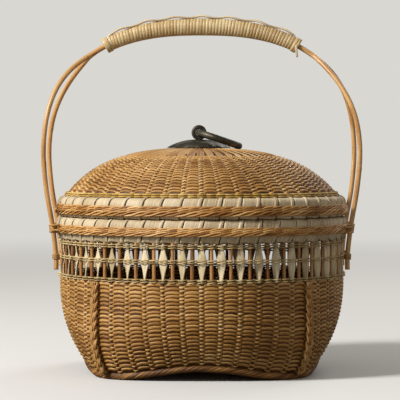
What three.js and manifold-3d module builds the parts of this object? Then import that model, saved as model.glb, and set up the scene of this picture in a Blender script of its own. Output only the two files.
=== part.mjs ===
// Bamboo basket: a round-topped body that grows square towards its four feet, a domed lift-off lid
// with a ring pull, and a tall fixed bail handle of two bent hoops under a cane-wrapped grip.
// Millimetres, +Z up, front towards -Y, origin on the ground under the middle of the basket.

import * as THREE from "three";
import Module from "manifold-3d";
import { mergeVertices } from "three/addons/utils/BufferGeometryUtils.js";

const wasm = await Module();
wasm.setup();

// Counts and pure numbers of the weave and the outline
const stakeCount = 48;
const fineCount = 2 * stakeCount;
const roundPower = 2;
const squareness = 2.2;
const bellyPower = 2.4;
const hoopPower = 2.4;
const domeSteepPower = 5;
const scallopCount = 16;
const footRollSides = 6;
const wrapTurns = 24;
const stepsPerTurn = 12;
const spineWaves = 7;

// Clearances
const clearance = 0.3;
const lidSeatGap = 0.5;
const lidSlideGap = 0.7;
const braidSeatGap = 0.5;
const cutOverrun = 10;

// Body of the basket
const wallRadius = 134;
const wallTop = 89;
const wallThickness = 3;
const ribHeight = 0.6;
const footInset = 36;
const footArch = 9.5;
const footRollRadius = 4;
const footFlat = 1;
const baseThickness = 3;
const baseCrown = 6;
const cornerBraidWidth = 10;
const cornerBraidDepth = 4.6;

// Openwork band between the wall and the rim
const twiningHeight = 4.2;
const twiningThickness = 1.9;
const twiningGroove = 0.8;
const lowerRowHeight = 13.2;
const upperRowHeight = 9.2;
const splintWidth = 4;
const splintThickness = 1;
const plainStakeWidth = 2.2;
const innerStrandThickness = 1.6;

// Rim of the body, and the collar that locates the lid
const rimHeight = 21.3;
const hoopThickness = 2.4;
const rimWrapThickness = 5;
const wrapGroove = 0.6;
const braidThickness = 1.7;
const rimBraidHeight = 8.8;
const collarThickness = 2.5;
const collarRise = 9;

// Lid
const lidRimHeight = 18.8;
const lidWrapThickness = 3.4;
const lidRimBraidHeight = 7.6;
const lidShelfWidth = 7.2;
const lidShelfThickness = 3;
const lidTwiningHeight = 3.8;
const lidTwiningThickness = 4.2;
const domeDrop = 41;
const domeThickness = 3.5;

// Ring pull on the lid
const pullOffset = -2.5;
const plateRadius = 30.5;
const plateThickness = 1.2;
const plateRise = 6.4;
const scallopDepth = 1.4;
const eyeRadius = 7.2;
const strapWidth = 6;
const shankWidth = 3.6;
const prongLength = 12;
const prongThickness = 1.6;
const washerRadius = 8;
const washerThickness = 1;
const ringRadius = 20;
const ringBarRadius = 3.1;
const ringPlay = 0.6;

// Shares of a rim's height: its rounded edges, and where the lid's band runs
const rimShoulderShare = 0.25;
const lidShoulderShare = 0.33;
const lidRoundShares = { inward: 0.35, down: 0.25 };
const lidBraidShare = 0.417;

// Handle
const rodRadius = 2.3;
const handleFlare = 8.35;
const handleBellyRise = 56.1;
const handleArchRise = 123;
const handleSpread = 35;
const handleSkew = 2.4;
const tailLength = 9;
const lashingRadius = 3.5;
const lashingHeight = 9;
const tieHeight = 6;
const gripHalfLength = 95;
const collarLength = 8.5;
const fillerHalfWidth = 5;
const fillerHalfHeight = 6.6;
const caneThickness = 1.1;
const caneGap = 1.5;
const wrapEase = 0.5;
const spineWidth = 3.6;
const spineThickness = 1.1;
const spineBump = 1.3;
const gripCollarThickness = 1.7;

// Levels, from the ground up
const fullTurn = 2 * Math.PI;
const rollMiddle = footRollRadius - footFlat;
const rollTop = rollMiddle + footRollRadius * Math.cos(fullTurn / footRollSides / 2);
const lowerTwiningBottom = wallTop + clearance;
const middleTwiningBottom = lowerTwiningBottom + twiningHeight + lowerRowHeight;
const upperTwiningBottom = middleTwiningBottom + twiningHeight + upperRowHeight;
const stakeTop = upperTwiningBottom + twiningHeight;
const rimBottom = stakeTop + clearance;
const rimTop = rimBottom + rimHeight;
const lidBottom = rimTop + lidSeatGap;
const lidRimTop = lidBottom + lidRimHeight;
const lidTwiningBottom = lidRimTop + clearance;
const domeEdge = lidTwiningBottom + lidTwiningHeight;
const domeTop = domeEdge + domeDrop;
const handleBellyHeight = rimTop + handleBellyRise;
const handleCrownHeight = handleBellyHeight + handleArchRise;

// Radii, from the stakes outwards and inwards
const stakeRadius = wallRadius - wallThickness / 2;
const twiningRadius = stakeRadius + splintWidth / 2 + clearance;
const twiningOuterRadius = twiningRadius + twiningThickness;
const hoopRadius = stakeRadius;
const collarRadius = hoopRadius - hoopThickness - clearance;
const rimWrapRadius = hoopRadius + clearance;
const rimOuterRadius = rimWrapRadius + rimWrapThickness;
const lidHoopRadius = collarRadius + lidSlideGap + hoopThickness;
const lidWrapRadius = lidHoopRadius + clearance;
const lidOuterRadius = lidWrapRadius + lidWrapThickness;
const lidShelfRadius = lidWrapRadius - lidShelfWidth;
const domeRadius = lidShelfRadius - 2 * clearance;

// Colours of the bamboo splints, the cane and the metal
const finish = (color, roughness, metalness) => () =>
  new THREE.MeshStandardMaterial({ color, roughness, metalness });
const bamboo = (color, roughness) => finish(color, roughness, 0);
const weaveFinish = bamboo("#d8b27c", 0.62);
const paleFinish = bamboo("#e8cf9f", 0.55);
const goldenFinish = bamboo("#c08a4a", 0.5);
const greenFinish = bamboo("#c4b16a", 0.6);
const stakeFinish = bamboo("#a87a48", 0.65);
const rodFinish = bamboo("#d0a465", 0.4);
const metalFinish = finish("#5d5a50", 0.4, 0.9);

// Turn of a loop, in steps, that sets its points between the stakes
const betweenStakes = 0.5;

// One loop of points, placed by angle round the basket.
function loop(count, place, turn = 0) {
  return Array.from({ length: count }, (_, step) => place(((step + turn) / count) * fullTurn, step));
}

// A point by angle, radius and height.
function polar(angle, radius, height) {
  return new THREE.Vector3(radius * Math.cos(angle), radius * Math.sin(angle), height);
}

// A level loop of one radius.
function circle(count, radius, height, turn = 0) {
  return loop(count, (angle) => polar(angle, radius, height), turn);
}

// The faces between two loops, of which one may have twice the points of the other.
function joinLoops(faces, a, aCount, b, bCount) {
  const steps = Math.min(aCount, bCount);
  const at = (start, count, step) => start + (step % count);
  for (let step = 0; step < steps; step++) {
    if (aCount === bCount) {
      faces.push([at(a, aCount, step), at(a, aCount, step + 1), at(b, bCount, step + 1)]);
      faces.push([at(a, aCount, step), at(b, bCount, step + 1), at(b, bCount, step)]);
    } else if (bCount > aCount) {
      const middle = at(b, bCount, 2 * step + 1);
      faces.push([at(a, aCount, step), middle, at(b, bCount, 2 * step)]);
      faces.push([at(a, aCount, step), at(a, aCount, step + 1), middle]);
      faces.push([at(a, aCount, step + 1), at(b, bCount, 2 * step + 2), middle]);
    } else {
      const middle = at(a, aCount, 2 * step + 1);
      faces.push([at(a, aCount, 2 * step), middle, at(b, bCount, step)]);
      faces.push([middle, at(b, bCount, step + 1), at(b, bCount, step)]);
      faces.push([middle, at(a, aCount, 2 * step + 2), at(b, bCount, step + 1)]);
    }
  }
}

// A geometry of points and faces, turned round where its faces look inwards.
function facingOut(points, faces) {
  const corner = new THREE.Vector3();
  const volume = faces.reduce(
    (sum, [a, b, c]) => sum + corner.crossVectors(points[a], points[b]).dot(points[c]),
    0,
  );
  const ordered = volume < 0 ? faces.map(([a, b, c]) => [a, c, b]) : faces;
  const geometry = new THREE.BufferGeometry().setFromPoints(points);
  geometry.setIndex(ordered.flat());
  geometry.computeVertexNormals();
  return geometry;
}

// A skin over loops of points: a ring when it closes on itself, else a bar with two flat ends.
function skin(loops, closed) {
  const faces = [];
  const starts = [];
  let total = 0;
  for (const points of loops) {
    starts.push(total);
    total += points.length;
  }
  const spans = closed ? loops.length : loops.length - 1;
  for (let span = 0; span < spans; span++) {
    const next = (span + 1) % loops.length;
    joinLoops(faces, starts[span], loops[span].length, starts[next], loops[next].length);
  }
  if (!closed) {
    const last = loops.length - 1;
    for (let step = 1; step < loops[0].length - 1; step++) faces.push([0, step + 1, step]);
    for (let step = 1; step < loops[last].length - 1; step++) {
      faces.push([starts[last], starts[last] + step, starts[last] + step + 1]);
    }
  }
  return facingOut(loops.flat(), faces);
}

// A ring with a profile of [radius, height] corners.
function ringOf(profile, count = stakeCount, turn = 0) {
  return skin(profile.map(([radius, height]) => circle(count, radius, height, turn)), true);
}

// A bar whose section follows frames of {centre, side, up}.
function bar(frames, sectionAt) {
  const place = (frame, [across, along]) =>
    frame.centre.clone().addScaledVector(frame.side, across).addScaledVector(frame.up, along);
  return skin(frames.map((frame, step) => sectionAt(step).map((point) => place(frame, point))), false);
}

// A solid for joining and cutting, from a closed geometry.
function solidOf(geometry) {
  const bare = new THREE.BufferGeometry().setAttribute("position", geometry.getAttribute("position"));
  bare.setIndex(geometry.index);
  const merged = mergeVertices(bare);
  return new wasm.Manifold(
    new wasm.Mesh({
      numProp: 3,
      vertProperties: new Float32Array(merged.attributes.position.array),
      triVerts: new Uint32Array(merged.index.array),
    }),
  );
}

// The geometry of a solid.
function geometryOf(solid) {
  const mesh = solid.getMesh();
  const geometry = new THREE.BufferGeometry();
  geometry.setAttribute("position", new THREE.BufferAttribute(mesh.vertProperties, 3));
  geometry.setIndex(new THREE.BufferAttribute(mesh.triVerts, 1));
  geometry.computeVertexNormals();
  return geometry;
}

const basket = new THREE.Group();
const lid = new THREE.Group();
basket.add(lid);

// One named piece in a group.
function addPiece(group, name, geometry, pieceFinish) {
  const mesh = new THREE.Mesh(geometry, pieceFinish());
  mesh.name = name;
  group.add(mesh);
  return mesh;
}

// How far the outline has sunk in towards the feet: none at the top of the wall, one at the ground.
function sink(height) {
  return Math.max(0, 1 - height / wallTop) ** bellyPower;
}

// Radius of the outline: a circle at the top of the wall, a rounded square near the ground.
function outlineRadius(angle, height, inset) {
  const power = roundPower + squareness * sink(height);
  const halfWidth = wallRadius - footInset * sink(height) - inset;
  const spread = Math.abs(Math.cos(angle)) ** power + Math.abs(Math.sin(angle)) ** power;
  return halfWidth / spread ** (1 / power);
}

// Rise of the bottom edge between the feet, which stand under the four corners.
function archAt(angle) {
  return footArch * Math.cos(2 * angle) ** 2;
}

// Height of the wall's bottom edge, on top of the foot roll.
function wallBottomAt(angle) {
  return archAt(angle) + rollTop + clearance;
}

// Relief of the weave from one stake to the next: a crest on the stake, a dip at both its sides, and
// the low swell of the weavers between them. Lifts are shares of the rib's height.
const reliefShares = [
  { way: 0, lift: 1 },
  { way: 0.12, lift: -1 },
  { way: 0.5, lift: 0 },
  { way: 0.88, lift: -1 },
];

// A loop with the relief of the weave, from a function that places a point by angle and lift.
function wovenLoop(place) {
  return loop(reliefShares.length * stakeCount, (_, step) => {
    const stake = Math.floor(step / reliefShares.length);
    const { way, lift } = reliefShares[step % reliefShares.length];
    return place(((stake + way) / stakeCount) * fullTurn, lift * ribHeight);
  });
}

// The rolled border that the basket stands on, cut flat under the four feet.
function footRing() {
  const sideAngles = Array.from({ length: footRollSides }, (_, side) => (side / footRollSides) * fullTurn);
  const loops = sideAngles.map((turn) =>
    loop(stakeCount, (angle) => {
      const height = archAt(angle) + rollMiddle;
      const radius = outlineRadius(angle, height, wallThickness / 2);
      return polar(angle, radius + footRollRadius * Math.cos(turn), height + footRollRadius * Math.sin(turn));
    }),
  );
  const width = 2 * (wallRadius + cutOverrun);
  const ground = new THREE.BoxGeometry(width, width, cutOverrun).translate(0, 0, -cutOverrun / 2);
  return geometryOf(solidOf(skin(loops, true)).subtract(solidOf(ground)));
}

// The woven floor: crowned in the middle, resting on the inner half of the foot roll.
function basePanel() {
  const radiusShares = [0.35, 0.7, 1];
  const counts = [stakeCount / 4, stakeCount / 2, stakeCount];
  const heightAt = (angle, share) =>
    wallBottomAt(angle) * share ** 2 + (wallBottomAt(0) + baseCrown) * (1 - share ** 2);
  const face = (lift) =>
    radiusShares.map((share, step) =>
      loop(counts[step], (angle) => {
        const edge = outlineRadius(angle, wallBottomAt(angle), wallThickness + clearance + ribHeight);
        return polar(angle, edge * share, heightAt(angle, share) + lift);
      }),
    );
  return skin([...face(0), ...face(baseThickness).reverse()], false);
}

// The closely woven lower wall, with the relief of its stakes outside.
function lowerWall() {
  const outerShares = [0, 0.14, 0.32, 0.6, 1];
  const innerShares = [1, 0.55, 0.2, 0];
  const pointAt = (angle, share, inset) => {
    const height = wallBottomAt(angle) + (wallTop - wallBottomAt(angle)) * share;
    return polar(angle, outlineRadius(angle, height, inset), height);
  };
  const outer = outerShares.map((share) => wovenLoop((angle, lift) => pointAt(angle, share, -lift)));
  const edgeAt = (share) => loop(fineCount, (angle) => pointAt(angle, share, wallThickness / 2));
  const inner = innerShares.map((share) => loop(stakeCount, (angle) => pointAt(angle, share, wallThickness)));
  return skin([...outer, edgeAt(1), ...inner, edgeAt(0)], true);
}

// A plaited braid that runs up the wall over one corner, swelling at each crossing of its strands.
function cornerBraid(angle) {
  const steps = 14;
  const swellShare = 0.14;
  const bottom = wallBottomAt(angle);
  const outward = polar(angle, 1, 0);
  const sideways = polar(angle + fullTurn / 4, 1, 0);
  const seat = ribHeight + braidSeatGap;
  const pointAt = (height) => polar(angle, outlineRadius(angle, height, -seat), height);
  const frames = Array.from({ length: steps + 1 }, (_, step) => {
    const height = bottom + (wallTop - bottom) * (step / steps);
    return { centre: pointAt(height), side: sideways, up: outward };
  });
  const sectionShares = [
    [-1, 0],
    [-0.75, 0.75],
    [0, 1],
    [0.75, 0.75],
    [1, 0],
  ];
  return bar(frames, (step) => {
    const swell = step % 2 === 0 ? 1 - swellShare : 1 + swellShare;
    const halfWidth = (swell * cornerBraidWidth) / 2;
    return sectionShares.map(([across, out]) => [across * halfWidth, out * cornerBraidDepth]);
  });
}

// Two strands, one over the other, that twine round outside the stakes.
function twiningRing(innerRadius, outerRadius, bottom, height) {
  const bulgeShare = 0.25;
  return ringOf([
    [innerRadius, bottom],
    [outerRadius, bottom + bulgeShare * height],
    [outerRadius - twiningGroove, bottom + height / 2],
    [outerRadius, bottom + (1 - bulgeShare) * height],
    [innerRadius, bottom + height],
  ]);
}

// The smallest corner radius of a ring that stays outside a true circle.
function outsideOf(radius) {
  return radius / Math.cos(fullTurn / stakeCount / 2);
}

// The openwork: plain stakes and flat splints by turns, on the inner strand of the middle twining.
// A splint lies flat at the strand and twists a quarter turn towards each of its ends.
function openworkStakes() {
  const points = [];
  const faces = [];
  const add = (point) => points.push(point) - 1;
  const quad = (a, b, c, d) => faces.push([a, b, c], [a, c, d]);
  const levels = [middleTwiningBottom, middleTwiningBottom + twiningHeight];
  const strandRadii = [stakeRadius - innerStrandThickness / 2, stakeRadius + innerStrandThickness / 2];
  const isSplint = (stake) => stake % 2 === 0;

  // Each stake's crossing with the strand is four upright edges: left and right, inside and outside.
  const crossings = Array.from({ length: fineCount }, (_, stake) => {
    const angle = (stake / fineCount) * fullTurn;
    const halfAngle = (isSplint(stake) ? splintWidth : plainStakeWidth) / 2 / stakeRadius;
    const column = (turn, radius) => levels.map((height) => add(polar(angle + turn, radius, height)));
    const [inner, outer] = strandRadii.map((radius) =>
      [-halfAngle, halfAngle].map((turn) => column(turn, radius)),
    );
    return { angle, inner, outer };
  });

  // A stake's section, twisted about its own length.
  const sectionAt = (angle, height, width, thickness, twist) => {
    const outward = polar(angle, 1, 0);
    const sideways = polar(angle + fullTurn / 4, 1, 0);
    const wide = sideways.clone().multiplyScalar(Math.cos(twist)).addScaledVector(outward, Math.sin(twist));
    const thin = outward.clone().multiplyScalar(Math.cos(twist)).addScaledVector(sideways, -Math.sin(twist));
    return [
      [-1, -1],
      [1, -1],
      [1, 1],
      [-1, 1],
    ].map(([across, out]) =>
      add(
        polar(angle, stakeRadius, height)
          .addScaledVector(wide, (across * width) / 2)
          .addScaledVector(thin, (out * thickness) / 2),
      ),
    );
  };

  crossings.forEach(({ angle, inner, outer }, stake) => {
    const next = crossings[(stake + 1) % fineCount];
    quad(outer[0][0], outer[1][0], outer[1][1], outer[0][1]);
    quad(outer[1][0], next.outer[0][0], next.outer[0][1], outer[1][1]);
    quad(inner[0][1], inner[1][1], inner[1][0], inner[0][0]);
    quad(inner[1][1], next.inner[0][1], next.inner[0][0], inner[1][0]);
    quad(inner[1][1], outer[1][1], next.outer[0][1], next.inner[0][1]);
    quad(inner[1][0], next.inner[0][0], next.outer[0][0], outer[1][0]);

    const ends = [
      { level: 1, from: levels[1], to: stakeTop },
      { level: 0, from: levels[0], to: lowerTwiningBottom },
    ];
    for (const { level, from, to } of ends) {
      const stepShares = isSplint(stake) ? [0.33, 0.67, 1] : [1];
      let below = [inner[0][level], inner[1][level], outer[1][level], outer[0][level]];
      // The two broad sides are split along the same diagonal, so that a twisted splint keeps its thickness.
      const span = (a, b) => {
        const corners = a.length;
        for (let side = 0; side < corners; side++) {
          const other = (side + 1) % corners;
          const edges = [a[side], b[side], b[other], a[other]];
          if (level === 0) edges.reverse();
          if ((side === corners / 2) === (level === 1)) edges.push(edges.shift());
          quad(...edges);
        }
      };
      for (const share of stepShares) {
        const height = from + (to - from) * share;
        const section = isSplint(stake)
          ? sectionAt(angle, height, splintWidth, splintThickness, (share * fullTurn) / 4)
          : sectionAt(angle, height, plainStakeWidth, plainStakeWidth, 0);
        span(below, section);
        below = section;
      }
      if (level === 0) quad(...below);
      else quad(...[...below].reverse());
    }
  });
  return facingOut(points, faces);
}

// A rim's pale wrapping: broad splints side by side, with a groove at each overlap.
function wrapRing(profile) {
  const depthAt = (step) => (step % 2 === 0 ? wrapGroove : 0);
  const loops = profile.map(({ radius, height, grooved }) => {
    if (!grooved) return circle(stakeCount, radius, height, betweenStakes);
    return loop(fineCount, (angle, step) => polar(angle, radius - depthAt(step), height));
  });
  return skin(loops, true);
}

// The wrapping of the body's rim, rounded at its top and its underside.
function rimWrap() {
  const shoulder = rimShoulderShare * rimHeight;
  const topShare = 0.33;
  return wrapRing([
    { radius: rimWrapRadius, height: rimBottom + wrapGroove + clearance },
    { radius: rimOuterRadius - shoulder / 2, height: rimBottom, grooved: true },
    { radius: rimOuterRadius, height: rimBottom + shoulder, grooved: true },
    { radius: rimOuterRadius, height: rimTop - shoulder, grooved: true },
    { radius: rimWrapRadius + topShare * rimWrapThickness, height: rimTop, grooved: true },
    { radius: rimWrapRadius, height: rimTop - wrapGroove - clearance },
  ]);
}

// The wrapping of the lid's rim, with the shelf inwards that carries the dome.
function lidRimWrap() {
  const shoulder = rimShoulderShare * lidRimHeight;
  const upperShoulder = lidShoulderShare * lidRimHeight;
  return wrapRing([
    { radius: lidWrapRadius, height: lidBottom + wrapGroove + clearance },
    { radius: lidOuterRadius - shoulder / 2, height: lidBottom, grooved: true },
    { radius: lidOuterRadius, height: lidBottom + shoulder, grooved: true },
    { radius: lidOuterRadius, height: lidRimTop - upperShoulder, grooved: true },
    {
      radius: lidOuterRadius - lidRoundShares.inward * upperShoulder,
      height: lidRimTop - lidRoundShares.down * upperShoulder,
      grooved: true,
    },
    { radius: lidShelfRadius + wrapGroove + clearance, height: lidRimTop, grooved: true },
    { radius: lidShelfRadius, height: lidRimTop - lidShelfThickness },
    { radius: lidWrapRadius, height: lidRimTop - lidShelfThickness },
  ]);
}

// The golden plaited band that is bound round the middle of a rim.
function braidRing(innerRadius, middle, height) {
  const edgeShare = 0.125;
  const bottom = middle - height / 2;
  const profile = [
    [innerRadius, bottom],
    [innerRadius + braidThickness, bottom + edgeShare * height],
    [innerRadius + braidThickness, bottom + (1 - edgeShare) * height],
    [innerRadius, bottom + height],
  ];
  return ringOf(profile, stakeCount, betweenStakes);
}

// A flat bent hoop.
function flatHoop(outerRadius, thickness, bottom, top) {
  return ringOf([
    [outerRadius - thickness, bottom],
    [outerRadius, bottom],
    [outerRadius, top],
    [outerRadius - thickness, top],
  ]);
}

// Height of the dome's upper side, by the share of its radius.
function domeHeight(share) {
  return domeTop - (domeDrop * (share ** 2 + share ** domeSteepPower)) / 2;
}

const shankHole = Math.hypot(strapWidth, shankWidth) / 2 + clearance;

// The woven dome of the lid, with the hole for the pull's shank.
function lidDome() {
  const bareShares = [0, 0.16, 0.34, 0.38];
  const bareCounts = [1 / 4, 1 / 2, 1, 2].map((share) => share * stakeCount);
  const wovenShares = [0.44, 0.52, 0.64, 0.76, 0.86, 0.93];
  const edgeShare = 0.97;
  const innerShares = [1, 0.72, 0.34, 0];
  const innerCounts = [1, 1, 1 / 2, 1 / 4].map((share) => share * stakeCount);
  const pointAt = (angle, share, lift) => {
    const radius = shankHole + (domeRadius - shankHole) * share;
    const point = polar(angle, radius, domeHeight(share) + lift);
    point.x += pullOffset * (1 - share);
    return point;
  };
  const ringAt = (share, count, lift) => loop(count, (angle) => pointAt(angle, share, lift));
  const bare = bareShares.map((share, step) => ringAt(share, bareCounts[step], 0));
  const woven = wovenShares.map((share) => wovenLoop((angle, lift) => pointAt(angle, share, lift)));
  const edge = [ringAt(edgeShare, fineCount, 0), ringAt(1, stakeCount, 0)];
  const inner = innerShares.map((share, step) => ringAt(share, innerCounts[step], -domeThickness));
  return skin([...bare, ...woven, ...edge, ...inner], true);
}

// Height of the dome's upper side, by distance from the basket's axis.
function domeHeightAt(distance) {
  return domeHeight((distance - shankHole) / (domeRadius - shankHole));
}

const plateEdgeBottom = domeHeightAt(plateRadius - Math.abs(pullOffset)) + clearance;
const plateTop = plateEdgeBottom + plateThickness + plateRise;
const eyeHeight = plateTop + clearance + eyeRadius;
const ringReach = 2 * ringRadius;
const ringRestDrop = eyeHeight - ringBarRadius - clearance - domeHeightAt(ringReach - Math.abs(pullOffset));
const ringRestSlope = Math.asin(ringRestDrop / ringReach);

// The domed plate under the ring, with a scalloped edge.
function pullPlate() {
  const radiusShares = [0, 0.45, 1];
  const counts = [scallopCount, 2 * scallopCount, 4 * scallopCount];
  const face = (lift) =>
    radiusShares.map((share, ring) =>
      loop(counts[ring], (angle) => {
        const scallop = share < 1 ? 0 : (scallopDepth * (1 - Math.cos(scallopCount * angle))) / 2;
        const radius = shankHole + (plateRadius - shankHole) * share - scallop;
        const height = plateEdgeBottom + plateRise * (1 - share ** 2) + lift;
        const point = polar(angle, radius, height);
        point.x += pullOffset;
        return point;
      }),
    );
  return skin([...face(plateThickness), ...face(0).reverse()], true);
}

// The strap eye: a loop for the ring, a shank through plate and lid, and two prongs bent out below.
const domeUnderside = domeTop - domeThickness;
const prongTop = domeUnderside - clearance - washerThickness - clearance;

function pullEye() {
  const prongBottom = prongTop - prongThickness;
  const half = shankWidth / 2;
  const neck = Math.asin(half / eyeRadius);
  const outline = new THREE.Shape();
  outline.moveTo(half, eyeHeight - eyeRadius * Math.cos(neck));
  outline.absarc(0, eyeHeight, eyeRadius, neck - fullTurn / 4, (3 * fullTurn) / 4 - neck, false);
  outline.lineTo(-half, prongTop);
  outline.lineTo(-half - prongLength, prongTop);
  outline.lineTo(-half - prongLength, prongBottom);
  outline.lineTo(half + prongLength, prongBottom);
  outline.lineTo(half + prongLength, prongTop);
  outline.lineTo(half, prongTop);
  outline.closePath();
  const hole = new THREE.Path();
  hole.absarc(0, eyeHeight, ringBarRadius + ringPlay, 0, fullTurn, true);
  outline.holes.push(hole);
  const settings = { depth: strapWidth, bevelEnabled: false, curveSegments: 10 };
  const geometry = new THREE.ExtrudeGeometry(outline, settings);
  return geometry.translate(0, 0, -strapWidth / 2).rotateX(fullTurn / 4).translate(pullOffset, 0, 0);
}

// The washer that spreads the prongs' pull over the weave inside the lid.
function pullWasher() {
  const top = domeUnderside - clearance;
  const profile = [
    [shankHole, top - washerThickness],
    [washerRadius, top - washerThickness],
    [washerRadius, top],
    [shankHole, top],
  ];
  return ringOf(profile, scallopCount).translate(pullOffset, 0, 0);
}

// The ring, hung in the eye and resting on the lid's right side.
function addPullRing() {
  const barSides = 8;
  const ringSteps = 20;
  const pivot = new THREE.Group();
  pivot.position.set(pullOffset, 0, eyeHeight);
  pivot.rotation.y = ringRestSlope;
  const geometry = new THREE.TorusGeometry(ringRadius, ringBarRadius, barSides, ringSteps);
  const ring = addPiece(pivot, "pull_ring", geometry, metalFinish);
  ring.position.x = ringRadius;
  lid.add(pivot);
}

// Distance from the middle plane to a rod's axis where a lashing holds it off a ring of the basket.
function rodSeat(ringOuterRadius) {
  return Math.sqrt(ringOuterRadius ** 2 - handleSpread ** 2) + clearance + lashingRadius;
}

const rimBraidRadius = rimOuterRadius + clearance;
const rimBraidMiddle = rimBottom + rimHeight / 2;
const tieMiddle = middleTwiningBottom + twiningHeight / 2;
const rimSeat = rodSeat(rimBraidRadius + braidThickness);
const tieSeat = rodSeat(twiningOuterRadius);
const handleHalfWidth = rimSeat + handleFlare;

// Middle of the handle's arch over the basket, from the belly height up to the crown.
function archHeight(across) {
  const share = Math.min(1, Math.abs(across) / handleHalfWidth);
  return handleCrownHeight - handleArchRise * (1 - (1 - share ** hoopPower) ** (1 / hoopPower));
}

// The axis of one hoop: up from its tail at the openwork, past the rim, out to the belly, over the
// crown and down again. The two hoops stand apart at the rim and lie side by side in the grip, and
// beside the grip the front one leans to the left and the back one to the right.
function hoopCurve(front) {
  const archSteps = 30;
  const rodGap = rodRadius + clearance / 2;
  const partingStart = gripHalfLength + 4 * rodRadius;
  const side = front ? -1 : 1;
  const arch = Array.from({ length: archSteps + 1 }, (_, step) => {
    const turn = (step / archSteps) * (fullTurn / 2);
    const reach = Math.abs(Math.cos(turn)) ** (2 / hoopPower) * handleHalfWidth;
    const across = -Math.sign(Math.cos(turn)) * reach;
    const parted = Math.max(0, (reach - partingStart) / (handleHalfWidth - partingStart));
    const depth = rodGap + (handleSpread - rodGap) * parted;
    const lean = handleSkew * Math.sin((fullTurn / 2) * parted);
    return new THREE.Vector3(across + side * lean, side * depth, archHeight(across));
  });
  const tail = (sign) => {
    const spot = (across, height) => new THREE.Vector3(sign * across, side * handleSpread, height);
    const shoulderShares = { down: 0.45, inward: 0.3 };
    const shoulder = handleBellyHeight - (handleBellyHeight - rimBraidMiddle) * shoulderShares.down;
    const shoulderSeat = handleHalfWidth - handleFlare * shoulderShares.inward;
    return [
      spot(tieSeat, tieMiddle - tieHeight / 2 - tailLength),
      spot(tieSeat, tieMiddle),
      spot(rimSeat, rimBraidMiddle),
      spot(shoulderSeat, shoulder),
    ];
  };
  return new THREE.CatmullRomCurve3([...tail(-1), ...arch, ...tail(1).reverse()]);
}

// One bamboo rod, bent into the handle's hoop.
function handleHoop(front) {
  const section = new THREE.Shape().absarc(0, 0, rodRadius, 0, fullTurn, false);
  const settings = { steps: 38, extrudePath: hoopCurve(front), curveSegments: 4 };
  return new THREE.ExtrudeGeometry(section, settings);
}

// Share of a hoop's curve at a height on its left side, where the curve climbs all the way to the crown.
function curveShareAt(curve, height) {
  const halvings = 30;
  let low = 0;
  let high = 1 / 2;
  for (let step = 0; step < halvings; step++) {
    const middle = (low + high) / 2;
    if (curve.getPoint(middle).z < height) low = middle;
    else high = middle;
  }
  return low;
}

// The strands bound round one rod where it meets the rim, or its tail where it meets the openwork.
// They follow the front hoop's axis on its left side, and are mirrored for the other places.
function lashing(middle, height) {
  const sides = 8;
  const shoulderShare = 0.8;
  const waistShare = 0.83;
  const curve = hoopCurve(true);
  const inside = (rodRadius + clearance) / Math.cos(fullTurn / sides / 2);
  const profile = [
    { share: -1, radius: inside },
    { share: -shoulderShare, radius: lashingRadius },
    { share: 0, radius: waistShare * lashingRadius },
    { share: shoulderShare, radius: lashingRadius },
    { share: 1, radius: inside },
  ];
  const loops = profile.map(({ share, radius }) => {
    const place = curveShareAt(curve, middle + (share * height) / 2);
    const along = curve.getTangent(place);
    const across = new THREE.Vector3(0, 1, 0).cross(along).normalize();
    const side = along.clone().cross(across);
    return loop(sides, (angle) =>
      curve
        .getPoint(place)
        .addScaledVector(across, radius * Math.cos(angle))
        .addScaledVector(side, radius * Math.sin(angle)),
    );
  });
  return skin(loops, true);
}

// Frames along the middle of the grip: side is across the grip, up is away from the basket.
class GripLine extends THREE.Curve {
  constructor(halfLength) {
    super();
    this.halfLength = halfLength;
  }

  getPoint(share, target = new THREE.Vector3()) {
    const across = (2 * share - 1) * this.halfLength;
    return target.set(across, 0, archHeight(across));
  }

  frameAt(share) {
    const along = this.getTangentAt(share);
    const up = new THREE.Vector3(-along.z, 0, along.x);
    return { centre: this.getPointAt(share), side: new THREE.Vector3(0, 1, 0), up, along };
  }
}

const wrapLine = new GripLine(gripHalfLength - collarLength - clearance);
const wrapInnerHalfHeight = fillerHalfHeight + wrapEase;
const wrapInnerHalfWidth = fillerHalfWidth + wrapEase;
const wrapHalfHeight = wrapInnerHalfHeight + caneThickness;

// The packing strip over or under the two rods, which makes the grip a hand's thickness.
function gripFiller(direction) {
  const steps = 12;
  const arcSteps = 5;
  const rest = rodRadius + clearance;
  const startTurn = Math.asin(rest / fillerHalfHeight);
  const section = Array.from({ length: arcSteps + 1 }, (_, step) => {
    const turn = startTurn + (fullTurn / 2 - 2 * startTurn) * (step / arcSteps);
    return [fillerHalfWidth * Math.cos(turn), direction * fillerHalfHeight * Math.sin(turn)];
  });
  const frames = Array.from({ length: steps + 1 }, (_, step) => wrapLine.frameAt(step / steps));
  return bar(frames, () => section);
}

// The cane that is wound round the grip: one flat strip, turn beside turn.
function gripWrap() {
  const total = wrapTurns * stepsPerTurn;
  const caneWidth = wrapLine.getLength() / wrapTurns - caneGap;
  const endShare = caneWidth / 2 / wrapLine.getLength();
  const loops = Array.from({ length: total + 1 }, (_, step) => {
    const share = endShare + (1 - 2 * endShare) * (step / total);
    const { centre, side, up, along } = wrapLine.frameAt(share);
    const turn = (step / stepsPerTurn) * fullTurn;
    const corner = (lift, reach) =>
      centre
        .clone()
        .addScaledVector(up, (wrapInnerHalfHeight + lift) * Math.cos(turn))
        .addScaledVector(side, (wrapInnerHalfWidth + lift) * Math.sin(turn))
        .addScaledVector(along, (reach * caneWidth) / 2);
    return [corner(0, -1), corner(0, 1), corner(caneThickness, 1), corner(caneThickness, -1)];
  });
  console.log("least gap of the grip's winding to itself: " + leastGap(loops).toFixed(2) + " mm");
  return skin(loops, false);
}

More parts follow.
